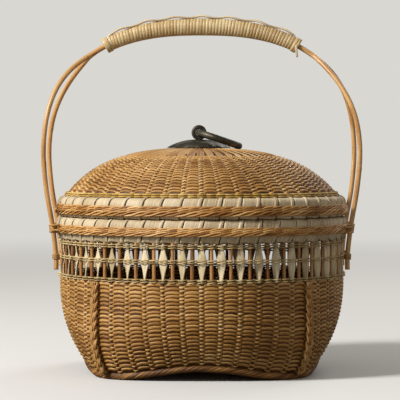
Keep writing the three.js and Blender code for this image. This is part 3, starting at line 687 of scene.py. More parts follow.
@dataclass(frozen=True)
class PlainWeave:
    """Weavers that pass the stakes by turns: tight bends over narrow ones, long floats over broad ones."""

    rows: int
    # Where a bending weaver passes from one narrow stake to the next: one in front, minus one behind
    fronts: tuple[float, ...] = (1.0, 0.35, -0.55, -1.0, -1.0, -1.0, -0.55, 0.35)
    swing: float = 0.75
    bend_rise: float = 0.55
    weaver_thickness: float = 1.1
    bend_height: float = 2.3
    float_height: float = 2.8
    hidden_height: float = 1.7
    height_variety: float = 0.06
    crossing: float = 2.95
    longest_dive: float = 0.32
    float_start: float = 0.15
    float_slope: float = 0.8
    bow: float = 0.3
    calm: float = 0.4
    waver: float = 0.1
    waver_counts: tuple[int, int] = (5, 17)
    unevenness: float = 0.05
    narrow_share: float = 0.18
    broad_share: float = 0.66
    stake_thickness: float = 0.8
    stake_overrun: float = 0.03
    stake_steps: int = 22

    def cover(
        self,
        prefix: str,
        seed: int,
        surface: Surface,
        body: Body,
        node: str,
        first: float = 0.0,
        last: float = 1.0,
    ) -> None:
        """Weave a surface as three pieces: the weavers that bend, those that float, and the stakes.

        Args:
            prefix: Start of the pieces' names.
            seed: Seed of the first piece.
            surface: Surface to cover.
            body: Body that the pieces ride on.
            node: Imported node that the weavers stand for.
            first: Share of the way up at the lowest row's lower edge.
            last: Share at the highest row's upper edge.
        """
        # The bends take the paler copy of the floats' tone, a painted highlight on the bumps over the narrow
        # stakes.
        for parity, (kind, finish) in enumerate((("bends", BEND_PAINTED_HIGHLIGHT), ("floats", FLOAT))):
            mesh = StrandMesh(seed + parity)
            self.weavers(mesh, surface, parity, first, last)
            mesh.piece(f"{prefix}_{kind}", finish, body, node)
        stakes = StrandMesh(seed + 2)
        self.uprights(stakes, surface, first, last)
        # The stakes' dark tone is painted shade in the gaps between the weavers.
        stakes.piece(prefix + "_stakes", STAKE_PAINTED_SHADE, body)

    def weavers(
        self, mesh: StrandMesh, surface: Surface, parity: int, first: float = 0.0, last: float = 1.0
    ) -> None:
        """Add every other weaver, row over row.

        Args:
            mesh: Mesh that takes them.
            surface: Surface to weave over.
            parity: Zero for the weavers that bend over the narrow stakes, one for the others.
            first: Share of the way up at the lowest row's lower edge.
            last: Share at the highest row's upper edge.
        """
        over = np.tile(np.array(self.fronts) * (1 - 2 * parity), MAIN_STAKES)[None]
        pitch = (last - first) / self.rows
        middle = first + (np.arange(parity, self.rows, 2)[:, None] + 0.5) * pitch
        rows = len(middle)
        spots = self._spots(np.linalg.norm(surface(0 * middle, middle)[..., :2], axis=-1))
        stake = np.arange(MAIN_STAKES)[None, :, None] + spots[:, None]
        angle = stake.reshape(rows, -1) / MAIN_STAKES * FULL_TURN
        phase = mesh.random.random(middle.shape) * FULL_TURN
        waves = sum(np.sin(count * angle + k * phase) for k, count in enumerate(self.waver_counts, 1))
        bulge = mesh.random.normal(size=angle.shape)
        bow = self.bow * (1 if parity else self.calm) * np.cos(MAIN_STAKES * angle)
        share = middle + pitch * (self.waver * waves + self.unevenness * bulge - bow)
        point, up, out = on_surface(surface, angle, share)
        bend = 0.0 if parity else self.bend_rise
        centres = point + out * (self.swing * over + bend * np.maximum(over, 0))[..., None]
        front = self.float_height if parity else self.bend_height
        height = self.hidden_height + (front - self.hidden_height) * (over + 1) / 2
        height = height * (1 + self.height_variety * mesh.random.normal(size=(rows, 1)))
        mesh.add(centres, up, height, self.weaver_thickness, closed=True)

    def _spots(self, radius: Array) -> Array:
        """Place a weaver's points between two narrow stakes, so that it dives close beside each stake.

        Args:
            radius: Radius of each row, as a column.

        Returns:
            Shares of the way from one narrow stake to the next, by row.
        """
        dive = np.minimum(self.longest_dive, self.crossing * MAIN_STAKES / (FULL_TURN * radius))
        half = [0 * dive, dive / 2, dive, self.float_start + self.float_slope * dive, 0 * dive + 0.5]
        spots = np.concatenate(half, axis=1)
        return np.concatenate([spots, 1 - spots[:, 3:0:-1]], axis=1)

    def uprights(self, mesh: StrandMesh, surface: Surface, first: float = 0.0, last: float = 1.0) -> None:
        """Add the narrow and the broad stakes that the weavers pass.

        Args:
            mesh: Mesh that takes them.
            surface: Surface to weave over.
            first: Share of the way up at the stakes' lower ends.
            last: Share at their upper ends.
        """
        share = np.linspace(first, last + self.stake_overrun, self.stake_steps)[None]
        for offset, width_share in ((0.0, self.narrow_share), (0.5, self.broad_share)):
            point, up, out = on_surface(surface, around(MAIN_STAKES, offset)[:, None], share)
            pitch = np.linalg.norm(point[..., :2], axis=-1) * FULL_TURN / MAIN_STAKES
            side = np.cross(up, out)
            mesh.add(point, side, width_share * pitch, self.stake_thickness, section=Section.FLAT)


@dataclass(frozen=True)
class Twining:
    """Rows of two strands each, which twist round every stake."""

    node: str
    radius: float
    seed: int
    swing: float = 3.4
    finish: Finish = TWINE
    body: Body = Body.BASKET
    rows: int = 2
    thickness: float = 1.0
    lean: float = 0.0
    fill: float = 0.5
    wander: float = 0.14
    stakes: int = 2 * MAIN_STAKES
    steps_per_stake: int = 4

    def build(self) -> None:
        """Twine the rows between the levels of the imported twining."""
        ring = Ring.of(self.node)
        steps = self.steps_per_stake * self.stakes
        stake = np.arange(steps) / self.steps_per_stake
        pitch = ring.height / self.rows
        mesh = StrandMesh(self.seed)
        for row in range(self.rows):
            for side in (0, 1):
                wave = math.pi * (stake + side + row)
                height = ring.bottom + (row + 0.5) * pitch + self.wander * pitch * np.sin(wave)
                radius = self.radius + self.swing * np.cos(wave) + self.lean * (row - 0.5)
                centres = polar(around(steps), radius, height)
                mesh.add(centres, UP, self.fill * pitch, self.thickness, closed=True)
        mesh.piece(self.node + "_strands", self.finish, self.body, self.node)


@dataclass(frozen=True)
class Bundles(ABC):
    """Parts that pass each other along a line, each a bundle of fine strands side by side."""

    width: float
    depth: float
    period: float
    parts: int
    fine: int
    fullness: float
    closeness: float
    strand_depth: float
    lap: float

    @abstractmethod
    def path(self, turn: Array, reach: float) -> tuple[Array, Array]:
        """Give a part's offsets across the line and out of it, by its turn and its reach."""

    def add(self, mesh: StrandMesh, line: Array, side: Array, out: Array, distance: Array) -> None:
        """Add the strands.

        Args:
            mesh: Mesh that takes them.
            line: Points of the line.
            side: Directions across the line.
            out: Directions out of the surface under it.
            distance: Distances along the line.
        """
        part_width = self.fullness * self.width
        fine_width = part_width / self.fine
        broad = math.cos(self.lap) * side - math.sin(self.lap) * out
        for part in range(self.parts):
            turn = FULL_TURN * (distance / self.period + part / self.parts)
            across, lift = self.path(turn, (self.width - part_width) / 2)
            middle = line + side * across[:, None] + out * lift[:, None]
            for strand in range(self.fine):
                offset = (strand - (self.fine - 1) / 2) * fine_width
                thickness = self.strand_depth * self.depth
                mesh.add(middle + offset * broad, broad, self.closeness * fine_width, thickness)


@dataclass(frozen=True)
class Plait(Bundles):
    """A flat three-part plait, as over the corners of the wall."""

    parts: int = 3
    fine: int = 2
    fullness: float = 0.44
    closeness: float = 0.84
    strand_depth: float = 0.62
    lap: float = 0.0
    corner: float = 0.12

    def path(self, turn: Array, reach: float) -> tuple[Array, Array]:
        """Swing a part from edge to edge, over one part and under the next."""
        return reach * (np.sin(turn) + self.corner * np.sin(3 * turn)), self.depth / 4 * np.sin(2 * turn)


@dataclass(frozen=True)
class RisingBand(Bundles):
    """A flat band whose bundles rise slowly over its front and come back behind it."""

    parts: int = 5
    fine: int = 3
    fullness: float = 0.6
    closeness: float = 0.88
    strand_depth: float = 0.4
    lap: float = 0.3
    corner: float = 0.1

    def path(self, turn: Array, reach: float) -> tuple[Array, Array]:
        """Carry a part up in front and down behind."""
        return -reach * (np.cos(turn) - self.corner * np.cos(3 * turn)), self.depth / 3 * np.sin(turn)


@dataclass(frozen=True)
class LowerWall:
    """The closely woven lower wall, its corner braids, the border roll that it stands on and the floor."""

    outline: Outline = Outline()
    weave: PlainWeave = PlainWeave(rows=44)
    wall_middle: float = 0.9
    braid: Plait = Plait(width=8.8, depth=4.2, period=25)
    braid_seat: float = 1.1
    braid_steps: int = 150
    roll_radius: float = 4.0
    roll_strands: int = 8
    roll_period: float = 44.0
    roll_steps: int = 900
    roll_strand_share: float = 0.36
    roll_strand_width: float = 2.3
    roll_strand_depth: float = 1.7
    floor_pitch: float = 8.0
    floor_splint: float = 7.3
    floor_thickness: float = 0.8
    floor_reach: int = 13
    floor_half: float = 112.0
    floor_steps: int = 130
    floor_inset: float = 4.2
    floor_crown: float = 6.0
    floor_lift: float = 1.5
    floor_wave: float = 0.5
    fewest_points: int = 8

    def build(self) -> None:
        """Build the wall's pieces."""
        self.weave.cover("wall", 1, self.outline.wall(self.wall_middle), Body.BASKET, "lower_wall")
        for corner, angle in zip(("back_right", "back_left", "front_left", "front_right"), around(4, 0.5)):
            self._corner(angle, corner)
        self._roll()
        self._floor()

    def _corner(self, angle: float, corner: str) -> None:
        """Plait the braid over one corner.

        Args:
            angle: Angle of the corner.
            corner: Name of the corner.
        """
        climb = np.linspace(0, 1, self.braid_steps)
        point, _, out = on_surface(self.outline.wall(-self.braid_seat), angle, climb)
        line = point + out * self.braid.depth / 2
        mesh = StrandMesh(seed=10)
        self.braid.add(mesh, line, polar(angle + FULL_TURN / 4, 1.0, 0.0), out, run_lengths(point))
        mesh.piece("corner_plait_" + corner, CORNER, Body.BASKET, "corner_braid_" + corner)

    def _roll(self) -> None:
        """Roll the border round the bottom edge, flat under the feet."""
        angle = around(self.roll_steps)
        height = self.outline.arch(angle) + self.outline.roll_middle
        line = polar(angle, self.outline.radius(angle, height, self.wall_middle), height)
        ahead = np.roll(line, -1, 0)
        tangent = unit(ahead - np.roll(line, 1, 0))
        out = unit(np.cross(tangent, UP))
        up = np.cross(out, tangent)
        turns = round(np.linalg.norm(ahead - line, axis=-1).sum() / self.roll_period)
        radius = self.roll_strand_share * self.roll_radius
        mesh = StrandMesh(seed=20)
        for start in around(self.roll_strands):
            turn = (turns * angle + start)[:, None]
            offset = out * np.cos(turn) + up * np.sin(turn)
            centres = line + (self.roll_radius - radius) * offset
            width, thickness = self.roll_strand_width * radius, self.roll_strand_depth * radius
            mesh.add(centres, np.cross(tangent, offset), width, thickness, closed=True)
        for points in mesh.points:
            points[:, 2] = np.maximum(points[:, 2], 0.0)
        mesh.piece("foot_border", BORDER, Body.BASKET, "foot_ring")

    def _floor(self) -> None:
        """Weave the crowned floor of flat splints that cross in both directions."""
        crown = self.outline.foot_arch + self.outline.wall_foot + self.floor_crown
        run = np.linspace(-self.floor_half, self.floor_half, self.floor_steps)
        mesh = StrandMesh(seed=30)
        for number in range(-self.floor_reach, self.floor_reach + 1):
            offset = np.full(self.floor_steps, number * self.floor_pitch)
            for crossing, (x, y, side) in enumerate(((run, offset, BACK), (offset, run, -RIGHT))):
                angle, radius = np.arctan2(y, x), np.hypot(x, y)
                bottom = self.outline.wall_bottom(angle)
                edge = self.outline.radius(angle, bottom, self.floor_inset)
                inside = radius < edge
                if inside.sum() < self.fewest_points:
                    continue
                share = np.minimum(radius / edge, 1)
                wave = self.floor_wave * np.cos(math.pi * (run / self.floor_pitch + number + crossing))
                height = bottom * share**2 + crown * (1 - share**2) + self.floor_lift + wave
                centres = np.stack([x, y, height], axis=-1)[inside]
                mesh.add(centres, side, self.floor_splint, self.floor_thickness, section=Section.FLAT)
        mesh.piece("base_weave", FLOAT, Body.BASKET, "base_panel")


@dataclass(frozen=True)
class Openwork:
    """The open band: plain stakes and twisted splints by turns, held by three twinings."""

    stake_radius: float = 132.5
    swing: float = 3.4
    middle_swing: float = 3.0
    rim_overlap: float = 2.5
    middle_width: float = 9.0
    end_width: float = 3.6
    waist_power: float = 1.3
    splint_thickness: float = 0.9
    neck_thickness: float = 1.8
    end_twist: float = FULL_TURN / 5
    splint_steps: int = 29
    plain_width: float = 3.2
    plain_steps: int = 9

    def build(self) -> None:
        """Build the band's pieces."""
        low, middle = Ring.of("lower_twining").bottom, Ring.of("middle_twining").middle
        high = Ring.of("rim_wrap").bottom + self.rim_overlap
        self._splints(low, middle, high)
        self._plain(low, high)
        Twining("lower_twining", self.stake_radius, seed=45, swing=self.swing).build()
        Twining("middle_twining", self.stake_radius, seed=46, swing=self.middle_swing).build()
        Twining("upper_twining", self.stake_radius, seed=45, swing=self.swing).build()

    def _splints(self, low: float, middle: float, high: float) -> None:
        """Place the splints, face-on at the middle and twisted towards both ends.

        Args:
            low: Height of the lower ends.
            middle: Height where they lie flat.
            high: Height of the upper ends.
        """
        height = np.linspace(low, high, self.splint_steps)
        way = np.interp(height, [low, middle, high], [1, 0, 1])
        twist = self.end_twist * way[:, None]
        width = self.end_width + (self.middle_width - self.end_width) * (1 - way) ** self.waist_power
        thickness = self.splint_thickness + (self.neck_thickness - self.splint_thickness) * way
        angle = around(MAIN_STAKES)[:, None]
        side = polar(angle + FULL_TURN / 4, 1.0, 0.0)
        broad = side * np.cos(twist) + polar(angle, 1.0, 0.0) * np.sin(twist)
        mesh = StrandMesh(seed=50)
        mesh.add(polar(angle, self.stake_radius, height), broad, width, thickness, section=Section.FLAT)
        mesh.piece("openwork_splints", LATTICE, Body.BASKET, "openwork_stakes")

    def _plain(self, low: float, high: float) -> None:
        """Place the plain round stakes.

        Args:
            low: Height of the lower ends.
            high: Height of the upper ends.
        """
        angle = around(MAIN_STAKES, 0.5)[:, None]
        centres = polar(angle, self.stake_radius, np.linspace(low, high, self.plain_steps))
        mesh = StrandMesh(seed=51)
        mesh.add(centres, polar(angle, 1.0, 0.0), self.plain_width, self.plain_width, section=Section.ROUND)
        mesh.piece("openwork_plain_stakes", PLAIN, Body.BASKET)


@dataclass(frozen=True)
class WrappedRim:
    """A rim bound with broad pale splints side by side, and a golden band of rising bundles round its middle.

    A profile is a list of points. Each lies some way in from the outer radius, and above the rim's bottom
    in a low profile or below its top in a high one.
    """

    name: str
    body: Body
    seed: int
    inset: float
    wrap_low: Pairs
    wrap_high: Pairs
    core_low: Pairs
    core_high: Pairs
    band_drop: float = 0.0
    band_stretch: float = 1.0
    band_seat: float = 0.9
    band_depth: float = 2.1
    band_rises: int = 18
    band_steps: int = 960
    wrap_gap: float = 1.3
    wrap_thickness: float = 0.9
    wrap_steps: int = 26
    lashing_width: float = 3.6
    lashing_thickness: float = 0.9
    lashing_sink: float = 0.1
    end_sink: float = 0.8
    end_share: float = 0.08
    slant: float = 0.045
    curl: float = 0.02
    core_steps: int = 288
    backing_gap: float = 0.7
    backing_depth: float = 1.0
    backing_share: float = 0.4

    def build(self) -> None:
        """Build the rim's pieces."""
        self._core()
        self._wraps()
        self._lashings()
        self._band()

    def _profile(self, low: Pairs, high: Pairs) -> Array:
        """Place the points of a profile.

        Args:
            low: Points near the rim's bottom, by inset and rise.
            high: Points near its top, by inset and drop.

        Returns:
            Radius and height of each point.
        """
        wrap = Ring.of(self.name + "_wrap")
        outer = wrap.radius - self.inset
        rising = [(outer - inset, wrap.bottom + rise) for inset, rise in low]
        falling = [(outer - inset, wrap.top - drop) for inset, drop in high]
        return np.array(rising + falling)

    def _golden_ring(self) -> Ring:
        """Measure the golden band.

        Returns:
            Its levels, and the radius of its middle line.
        """
        braid = Ring.of(self.name + "_braid")
        middle = braid.middle - self.band_drop
        half = self.band_stretch * braid.height / 2
        return Ring(middle - half, middle + half, braid.radius - self.band_seat)

    def _wrap_line(self, angle: Array) -> tuple[Array, Array]:
        """Lay lines up the rim's outer side, over its profile with rounded corners.

        Args:
            angle: Angle by strand and step.

        Returns:
            Points of the lines, and directions round the rim at them.
        """
        corners = self._profile(self.wrap_low, self.wrap_high)
        marks = run_lengths(corners)
        line = follow(np.linspace(0, marks[-1], self.wrap_steps), marks, corners)
        for _ in range(2):
            line[1:-1] = line[:-2] / 4 + line[1:-1] / 2 + line[2:] / 4
        return polar(angle, line[:, 0], line[:, 1]), polar(angle + FULL_TURN / 4, 1.0, 0.0)

    def _wraps(self) -> None:
        """Wrap the splints, side by side."""
        share = np.linspace(-0.5, 0.5, self.wrap_steps)
        centres, side = self._wrap_line(around(MAIN_STAKES, 0.5)[:, None] + self.slant * share)
        width = np.linalg.norm(centres[..., :2], axis=-1) * FULL_TURN / MAIN_STAKES - self.wrap_gap
        mesh = StrandMesh(self.seed)
        mesh.add(centres, side, width, self.wrap_thickness, section=Section.FLAT)
        mesh.piece(self.name + "_wraps", PALE, self.body, self.name + "_wrap")

    def _lashings(self) -> None:
        """Bind a narrow strip over the end of each wrap, curving down beside its gap."""
        share = np.linspace(-0.5, 0.5, self.wrap_steps)
        half = (self.lashing_width + self.wrap_gap) / 2 / self._golden_ring().radius
        curve = self.slant * share + self.curl * share**2
        centres, side = self._wrap_line(around(MAIN_STAKES, 1)[:, None] - half + curve)
        inward = unit(np.cross(unit(np.gradient(centres, axis=1)), side))
        lift = (self.wrap_thickness + self.lashing_thickness) / 2 - self.lashing_sink
        ends = np.clip((np.abs(share) - 0.5) / self.end_share + 1, 0, 1)[:, None]
        mesh = StrandMesh(self.seed + 3)
        lifted = centres - inward * (lift - self.end_sink * ends)
        mesh.add(lifted, side, self.lashing_width, self.lashing_thickness)
        mesh.piece(self.name + "_lashings", PALE, self.body)

    def _core(self) -> None:
        """Lay the dark hoops under the wrapping and behind the golden band; their dark tone is painted shade
        in the slits between the wraps and between the band's bundles.
        """
        angle = around(self.core_steps)
        mesh = StrandMesh(self.seed + 1)
        core = self._profile(self.core_low, self.core_high)
        mesh.add_surface([polar(angle, radius, height) for radius, height in core], tube=True)
        # A dark sheet behind the golden band: painted shade between its bundles.
        band = self._golden_ring()
        outer, half = band.radius - self.backing_gap, self.backing_share * band.height
        inner = outer - self.backing_depth
        backing = ((inner, -half), (outer, -half), (outer, half), (inner, half))
        mesh.add_surface([polar(angle, radius, band.middle + lift) for radius, lift in backing])
        mesh.piece(self.name + "_core", CORE_PAINTED_SHADE, self.body)

    def _band(self) -> None:
        """Lay the golden band."""
        band = self._golden_ring()
        angle = np.linspace(0, FULL_TURN, self.band_steps + 1)
        line = polar(angle, band.radius, band.middle)
        circle = FULL_TURN * band.radius
        bundles = RisingBand(band.height, self.band_depth, circle / self.band_rises)
        mesh = StrandMesh(self.seed + 2)
        bundles.add(mesh, line, UP, polar(angle, 1.0, 0.0), band.radius * angle)
        mesh.piece(self.name + "_plait", GOLDEN, self.body, self.name + "_braid")


@dataclass(frozen=True)
class Rim:
    """The rim of the body, with the woven collar that holds the lid in place."""

    wrapping: WrappedRim = WrappedRim(
        "rim",
        Body.BASKET,
        seed=60,
        inset=0.5,
        wrap_low=((4.3, 1.2), (3.6, 0.6), (2.3, 3.0), (0.2, 7.0)),
        wrap_high=((0.0, 5.4), (0.9, 2.2), (3.0, 0.6), (4.3, 0.6)),
        core_low=((4.1, 2.0), (4.2, 2.4), (1.4, 7.0)),
        core_high=((0.8, 5.6), (2.0, 2.6), (4.1, 1.8)),
    )
    collar: PlainWeave = PlainWeave(
        rows=16,
        swing=0.5,
        bend_rise=0.1,
        weaver_thickness=0.7,
        stake_thickness=0.6,
    )
    collar_middle: float = 1.25

    def build(self) -> None:
        """Build the rim's pieces."""
        self.wrapping.build()
        ring = Ring.of("seat_collar")

        def surface(angle: Array, share: Array) -> Array:
            """Give the collar's points."""
            return polar(angle, ring.radius - self.collar_middle, ring.bottom + ring.height * share)

        mesh = StrandMesh(seed=70)
        for parity in (0, 1):
            self.collar.weavers(mesh, surface, parity)
        self.collar.uprights(mesh, surface)
        mesh.piece("collar_weave", FLOAT, Body.BASKET, "seat_collar")


@dataclass(frozen=True)
class Dome:
    """The lid's woven dome: weavers over the outer part, and a fan of lapped splints round the top."""

    radius: float = 125.4
    drop: float = 41.0
    steep_power: float = 5.0
    weave: PlainWeave = PlainWeave(rows=34)
    weave_depth: float = 0.9
    weave_start: float = 0.004
    samples: int = 400
    climb_samples: int = 500
    fan_radius: float = 72.0
    fan_overlap: float = 0.1
    fan_end: float = 0.93
    fan_steps: int = 30
    fan_lean: float = 0.12
    fan_power: float = 1.5
    fan_tilt: float = 0.16
    fan_lifts: Pairs = ((-0.1, -0.4), (-0.02, 0.2), (0.04, 0.9))
    fan_lap: float = 1.12
    fan_widths: tuple[float, float] = (2.5, 7.4)
    fan_full: float = 0.05
    fan_tip: float = 0.5
    fan_thickness: float = 0.8
    underlay_overlap: float = 0.02
    underlay_end: float = 0.995
    underlay_rows: int = 24
    underlay_steps: int = 192

    def surface(self) -> Surface:
        """Describe the middle surface of the dome's weave, from its edge up to the shank.

        Returns:
            The surface.
        """
        top = Ring.of("lid_dome").top - self.weave_depth
        span = self.radius - SHANK_HOLE

        def height(share: Array) -> Array:
            """Give the height at a share of the way out."""
            return top - self.drop * (share**2 + share**self.steep_power) / 2

        shares = np.linspace(0, 1, self.samples)
        marks = run_lengths(np.stack([span * shares, height(shares)], axis=-1))
        marks = marks / marks[-1]
        shift = PULL_OFFSET * RIGHT

        def surface(angle: Array, climb: Array) -> Array:
            """Give the dome's points, on rings that shift towards the pull as they close."""
            share = np.interp(1 - climb, marks, shares)
            return polar(angle, SHANK_HOLE + span * share, height(share)) + (1 - share)[..., None] * shift

        return surface

    def build(self) -> None:
        """Build the dome's pieces."""
        surface = self.surface()
        climbs = np.linspace(0, 1, self.climb_samples)
        reach = surface(FULL_TURN / 4, climbs)[:, 1]
        first = float(np.interp(-self.fan_radius, -reach, climbs))
        self.weave.cover("dome", 80, surface, Body.LID, "lid_dome", self.weave_start, first)
        self._fan(surface, first)
        self._underlay(surface, first)

    def _fan(self, surface: Surface, first: float) -> None:
        """Lay the overlapping splints that spread from under the plate and turn into the stakes.

        Args:
            surface: The dome's middle surface.
            first: Share of the way up where the weave ends.
        """
        climb = np.linspace(first - self.fan_overlap, self.fan_end, self.fan_steps)
        way = np.maximum(0, (climb - first) / (1 - first))
        angle = around(MAIN_STAKES)[:, None] + self.fan_lean * way**self.fan_power
        point, _, out = on_surface(surface, angle, climb)
        side = unit(np.cross(out, unit(np.gradient(point, axis=1))))
        places, lifts = np.array(self.fan_lifts).T
        lift = np.interp(climb - first, places, lifts)[:, None]
        pitch = np.linalg.norm(point[..., :2], axis=-1) * FULL_TURN / MAIN_STAKES
        growth = np.interp(climb - first, [-self.fan_overlap, self.fan_full], [self.fan_tip, 1])
        width = np.clip(self.fan_lap * pitch, *self.fan_widths) * growth
        broad = side * math.cos(self.fan_tilt) + out * math.sin(self.fan_tilt)
        mesh = StrandMesh(seed=83)
        mesh.add(point + out * lift, broad, width, self.fan_thickness, section=Section.FLAT)
        mesh.piece("dome_fan", FAN, Body.LID)

    def _underlay(self, surface: Surface, first: float) -> None:
        """Close the dome under the fan with a dark sheet: painted shade in the gaps between the fan's
        splints.

        Args:
            surface: The dome's middle surface.
            first: Share of the way up where the weave ends.
        """
        climbs = np.linspace(first - self.underlay_overlap, self.underlay_end, self.underlay_rows)
        mesh = StrandMesh(seed=84)
        mesh.add_surface([surface(around(self.underlay_steps), climb) for climb in climbs])
        mesh.piece("dome_painted_shade_underlay", STAKE_PAINTED_SHADE, Body.LID)


@dataclass(frozen=True)
class Lid:
    """The lift-off lid: the dome, its wrapped rim and its twined edge."""

    dome: Dome = Dome()
    rim_inset: float = 0.4
    wrap_lap: float = 0.6
    core_lap: float = 0.4
    wrap_low: Pairs = ((1.6, 0.5), (0.4, 2.0), (0.0, 4.6))
    wrap_high: Pairs = ((0.0, 6.4), (0.8, 3.0), (3.0, 1.0), (6.0, 0.4), (9.2, 0.5))
    core_high: Pairs = ((0.8, 6.6), (2.2, 3.0), (5.0, 1.6), (9.0, 1.6), (9.0, 2.6))
    twining_depth: float = 2.4
    twining_swing: float = 1.5

    def build(self) -> None:
        """Build the lid's pieces."""
        self.dome.build()
        self._rim()
        radius = Ring.of("lid_twining").radius - self.twining_depth
        twining = Twining(
            "lid_twining",
            radius,
            seed=90,
            swing=self.twining_swing,
            finish=GREEN,
            body=Body.LID,
            thickness=1.2,
            lean=-1.0,
            fill=0.85,
            wander=0.05,
        )
        twining.build()

    def _rim(self) -> None:
        """Build the lid's rim, whose wrapping starts on its hoop."""
        lining = Ring.of("lid_rim_wrap").radius - self.rim_inset - Ring.of("lid_hoop").radius
        rim = WrappedRim(
            "lid_rim",
            Body.LID,
            seed=64,
            inset=self.rim_inset,
            wrap_low=((lining - self.wrap_lap, 0.9), *self.wrap_low),
            wrap_high=self.wrap_high,
            core_low=((lining - self.core_lap, 2.0), (1.0, 2.2)),
            core_high=(*self.core_high, (lining - self.core_lap, 3.0)),
            band_drop=0.6,
            band_stretch=1.36,
        )
        rim.build()


@dataclass(frozen=True)
class RingPull:
    """The metal pull: a scalloped domed plate, a strap eye with its prongs, and the ring."""

    plate_radius: float = 30.5
    plate_thickness: float = 1.2
    plate_rise: float = 7.4
    plate_steps: int = 256
    plate_shares: tuple[float, ...] = (0.0, *np.linspace(0.03, 0.9, 16), 0.94, 0.97, 0.99, 1.0)
    lobes: int = 16
    lobe_depth: float = 2.0
    lobe_droop: float = 0.8
    flute_depth: float = 0.6
    rounding_start: float = 0.9
    eye_radius: float = 7.2
    eye_hole: float = 3.3
    eye_steps: int = 72
    strap_width: float = 6.0
    shank_width: float = 3.6
    shank_lap: float = 1.0
    shank_length: float = 4.0
    prong_thickness: float = 1.6
    prong_reach: float = 11.5
    prong_bend: Pairs = ((0.0, 2.0), (0.8, 0.3), (2.5, 0.0))
    ring_radius: float = 20.0
    ring_steps: int = 96
    bar_radius: float = 3.1
    bar_fullness: float = 1.045

    def build(self) -> None:
        """Build the pull's pieces."""
        self._plate()
        self._eye()
        self._ring()

    def _eye_height(self) -> float:
        """Give the height of the eye's middle."""
        return Ring.of("pull_eye").top - self.eye_radius

    def _plate(self) -> None:
        """Make the scalloped plate."""
        bottom = Ring.of("pull_plate").bottom
        angle = around(self.plate_steps)
        scallop = (1 - np.cos(self.lobes * angle)) / 2

        def row(share: float, upper: bool) -> Array:
            """Give a line of points round one side of the plate.

            Args:
                share: Share of the way out.
                upper: Whether it is the upper side.

            Returns:
                The points.
            """
            reach = SHANK_HOLE + (self.plate_radius - SHANK_HOLE) * share
            radius = reach - self.lobe_depth * scallop * share**6
            height = bottom + self.plate_rise * (1 - share**2) + self.lobe_droop * scallop * share**5
            rounding = max(0.0, (share - self.rounding_start) / (1 - self.rounding_start)) ** 3
            edge = rounding * self.plate_thickness / 2
            if upper:
                height = height + self.plate_thickness - self.flute_depth * scallop * share**2 - edge
            else:
                height = height + edge
            return polar(angle, radius, height) + PULL_OFFSET * RIGHT

        above, below = ([row(share, upper) for share in self.plate_shares] for upper in (True, False))
        mesh = StrandMesh(seed=100)
        mesh.add_surface([above[0], *below, *above[:0:-1]], tube=True)
        mesh.piece("plate", METAL, Body.LID, "pull_plate")

    def _eye(self) -> None:
        """Make the strap eye, its shank and the bent prongs."""
        middle = PULL_OFFSET * RIGHT + self._eye_height() * UP
        turn = around(self.eye_steps)[:, None]
        radius = (self.eye_radius + self.eye_hole) / 2
        band = middle + radius * (RIGHT * np.sin(turn) + UP * np.cos(turn))
        strap = self.eye_radius - self.eye_hole
        mesh = StrandMesh(seed=101)
        mesh.add(band, BACK, self.strap_width, strap, closed=True, section=Section.FLAT)
        shank_top = self._eye_height() - self.eye_radius
        low = Ring.of("pull_eye").bottom + self.prong_thickness / 2
        straight = self.shank_width / 4
        steps = [(0.0, shank_top + self.shank_lap), (0.0, shank_top - self.shank_length)]
        steps += [(way, low + lift) for way, lift in self.prong_bend]
        steps += [(self.shank_width / 2 + self.prong_reach - straight, low)]
        for side in (-1, 1):
            path = [(PULL_OFFSET + side * (straight + way), 0.0, height) for way, height in steps]
            mesh.add(np.array(path), BACK, self.strap_width, self.prong_thickness, section=Section.FLAT)
        mesh.piece("strap_eye", METAL, Body.LID, "pull_eye")

    def _ring(self) -> None:
        """Make the ring, lying over to the lid's right side as it is packed."""
        pivot = PULL_OFFSET * RIGHT + self._eye_height() * UP
        drop = pivot[2] - self.bar_radius - Ring.of("pull_ring").bottom
        slope = math.asin(min(1.0, drop / (2 * self.ring_radius)))
        along = math.cos(slope) * RIGHT - math.sin(slope) * UP
        turn = around(self.ring_steps)[:, None]
        line = pivot + self.ring_radius * (along * (1 + np.cos(turn)) + BACK * np.sin(turn))
        bar = 2 * self.bar_radius * self.bar_fullness
        mesh = StrandMesh(seed=102)
        mesh.add(line, np.cross(along, BACK), bar, bar, closed=True, section=Section.ROUND)
        mesh.piece("ring", METAL, Body.RING, "pull_ring")


@dataclass(frozen=True)
class Arch:
    """Middle line of the bail handle, and the sizes that its rods and its grip share."""

    half_width: float = 147.5
    belly: float = 202.0
    rise: float = 123.0
    power: float = 2.4
    rod_radius: float = 2.3
    clearance: float = 0.3
    grip_half: float = 95.0

    def height(self, across: Array) -> Array:
        """Give the height of the middle line by the distance from the middle."""
        share = np.minimum(1, np.abs(across) / self.half_width)
        return self.belly + self.rise * (1 - share**self.power) ** (1 / self.power)


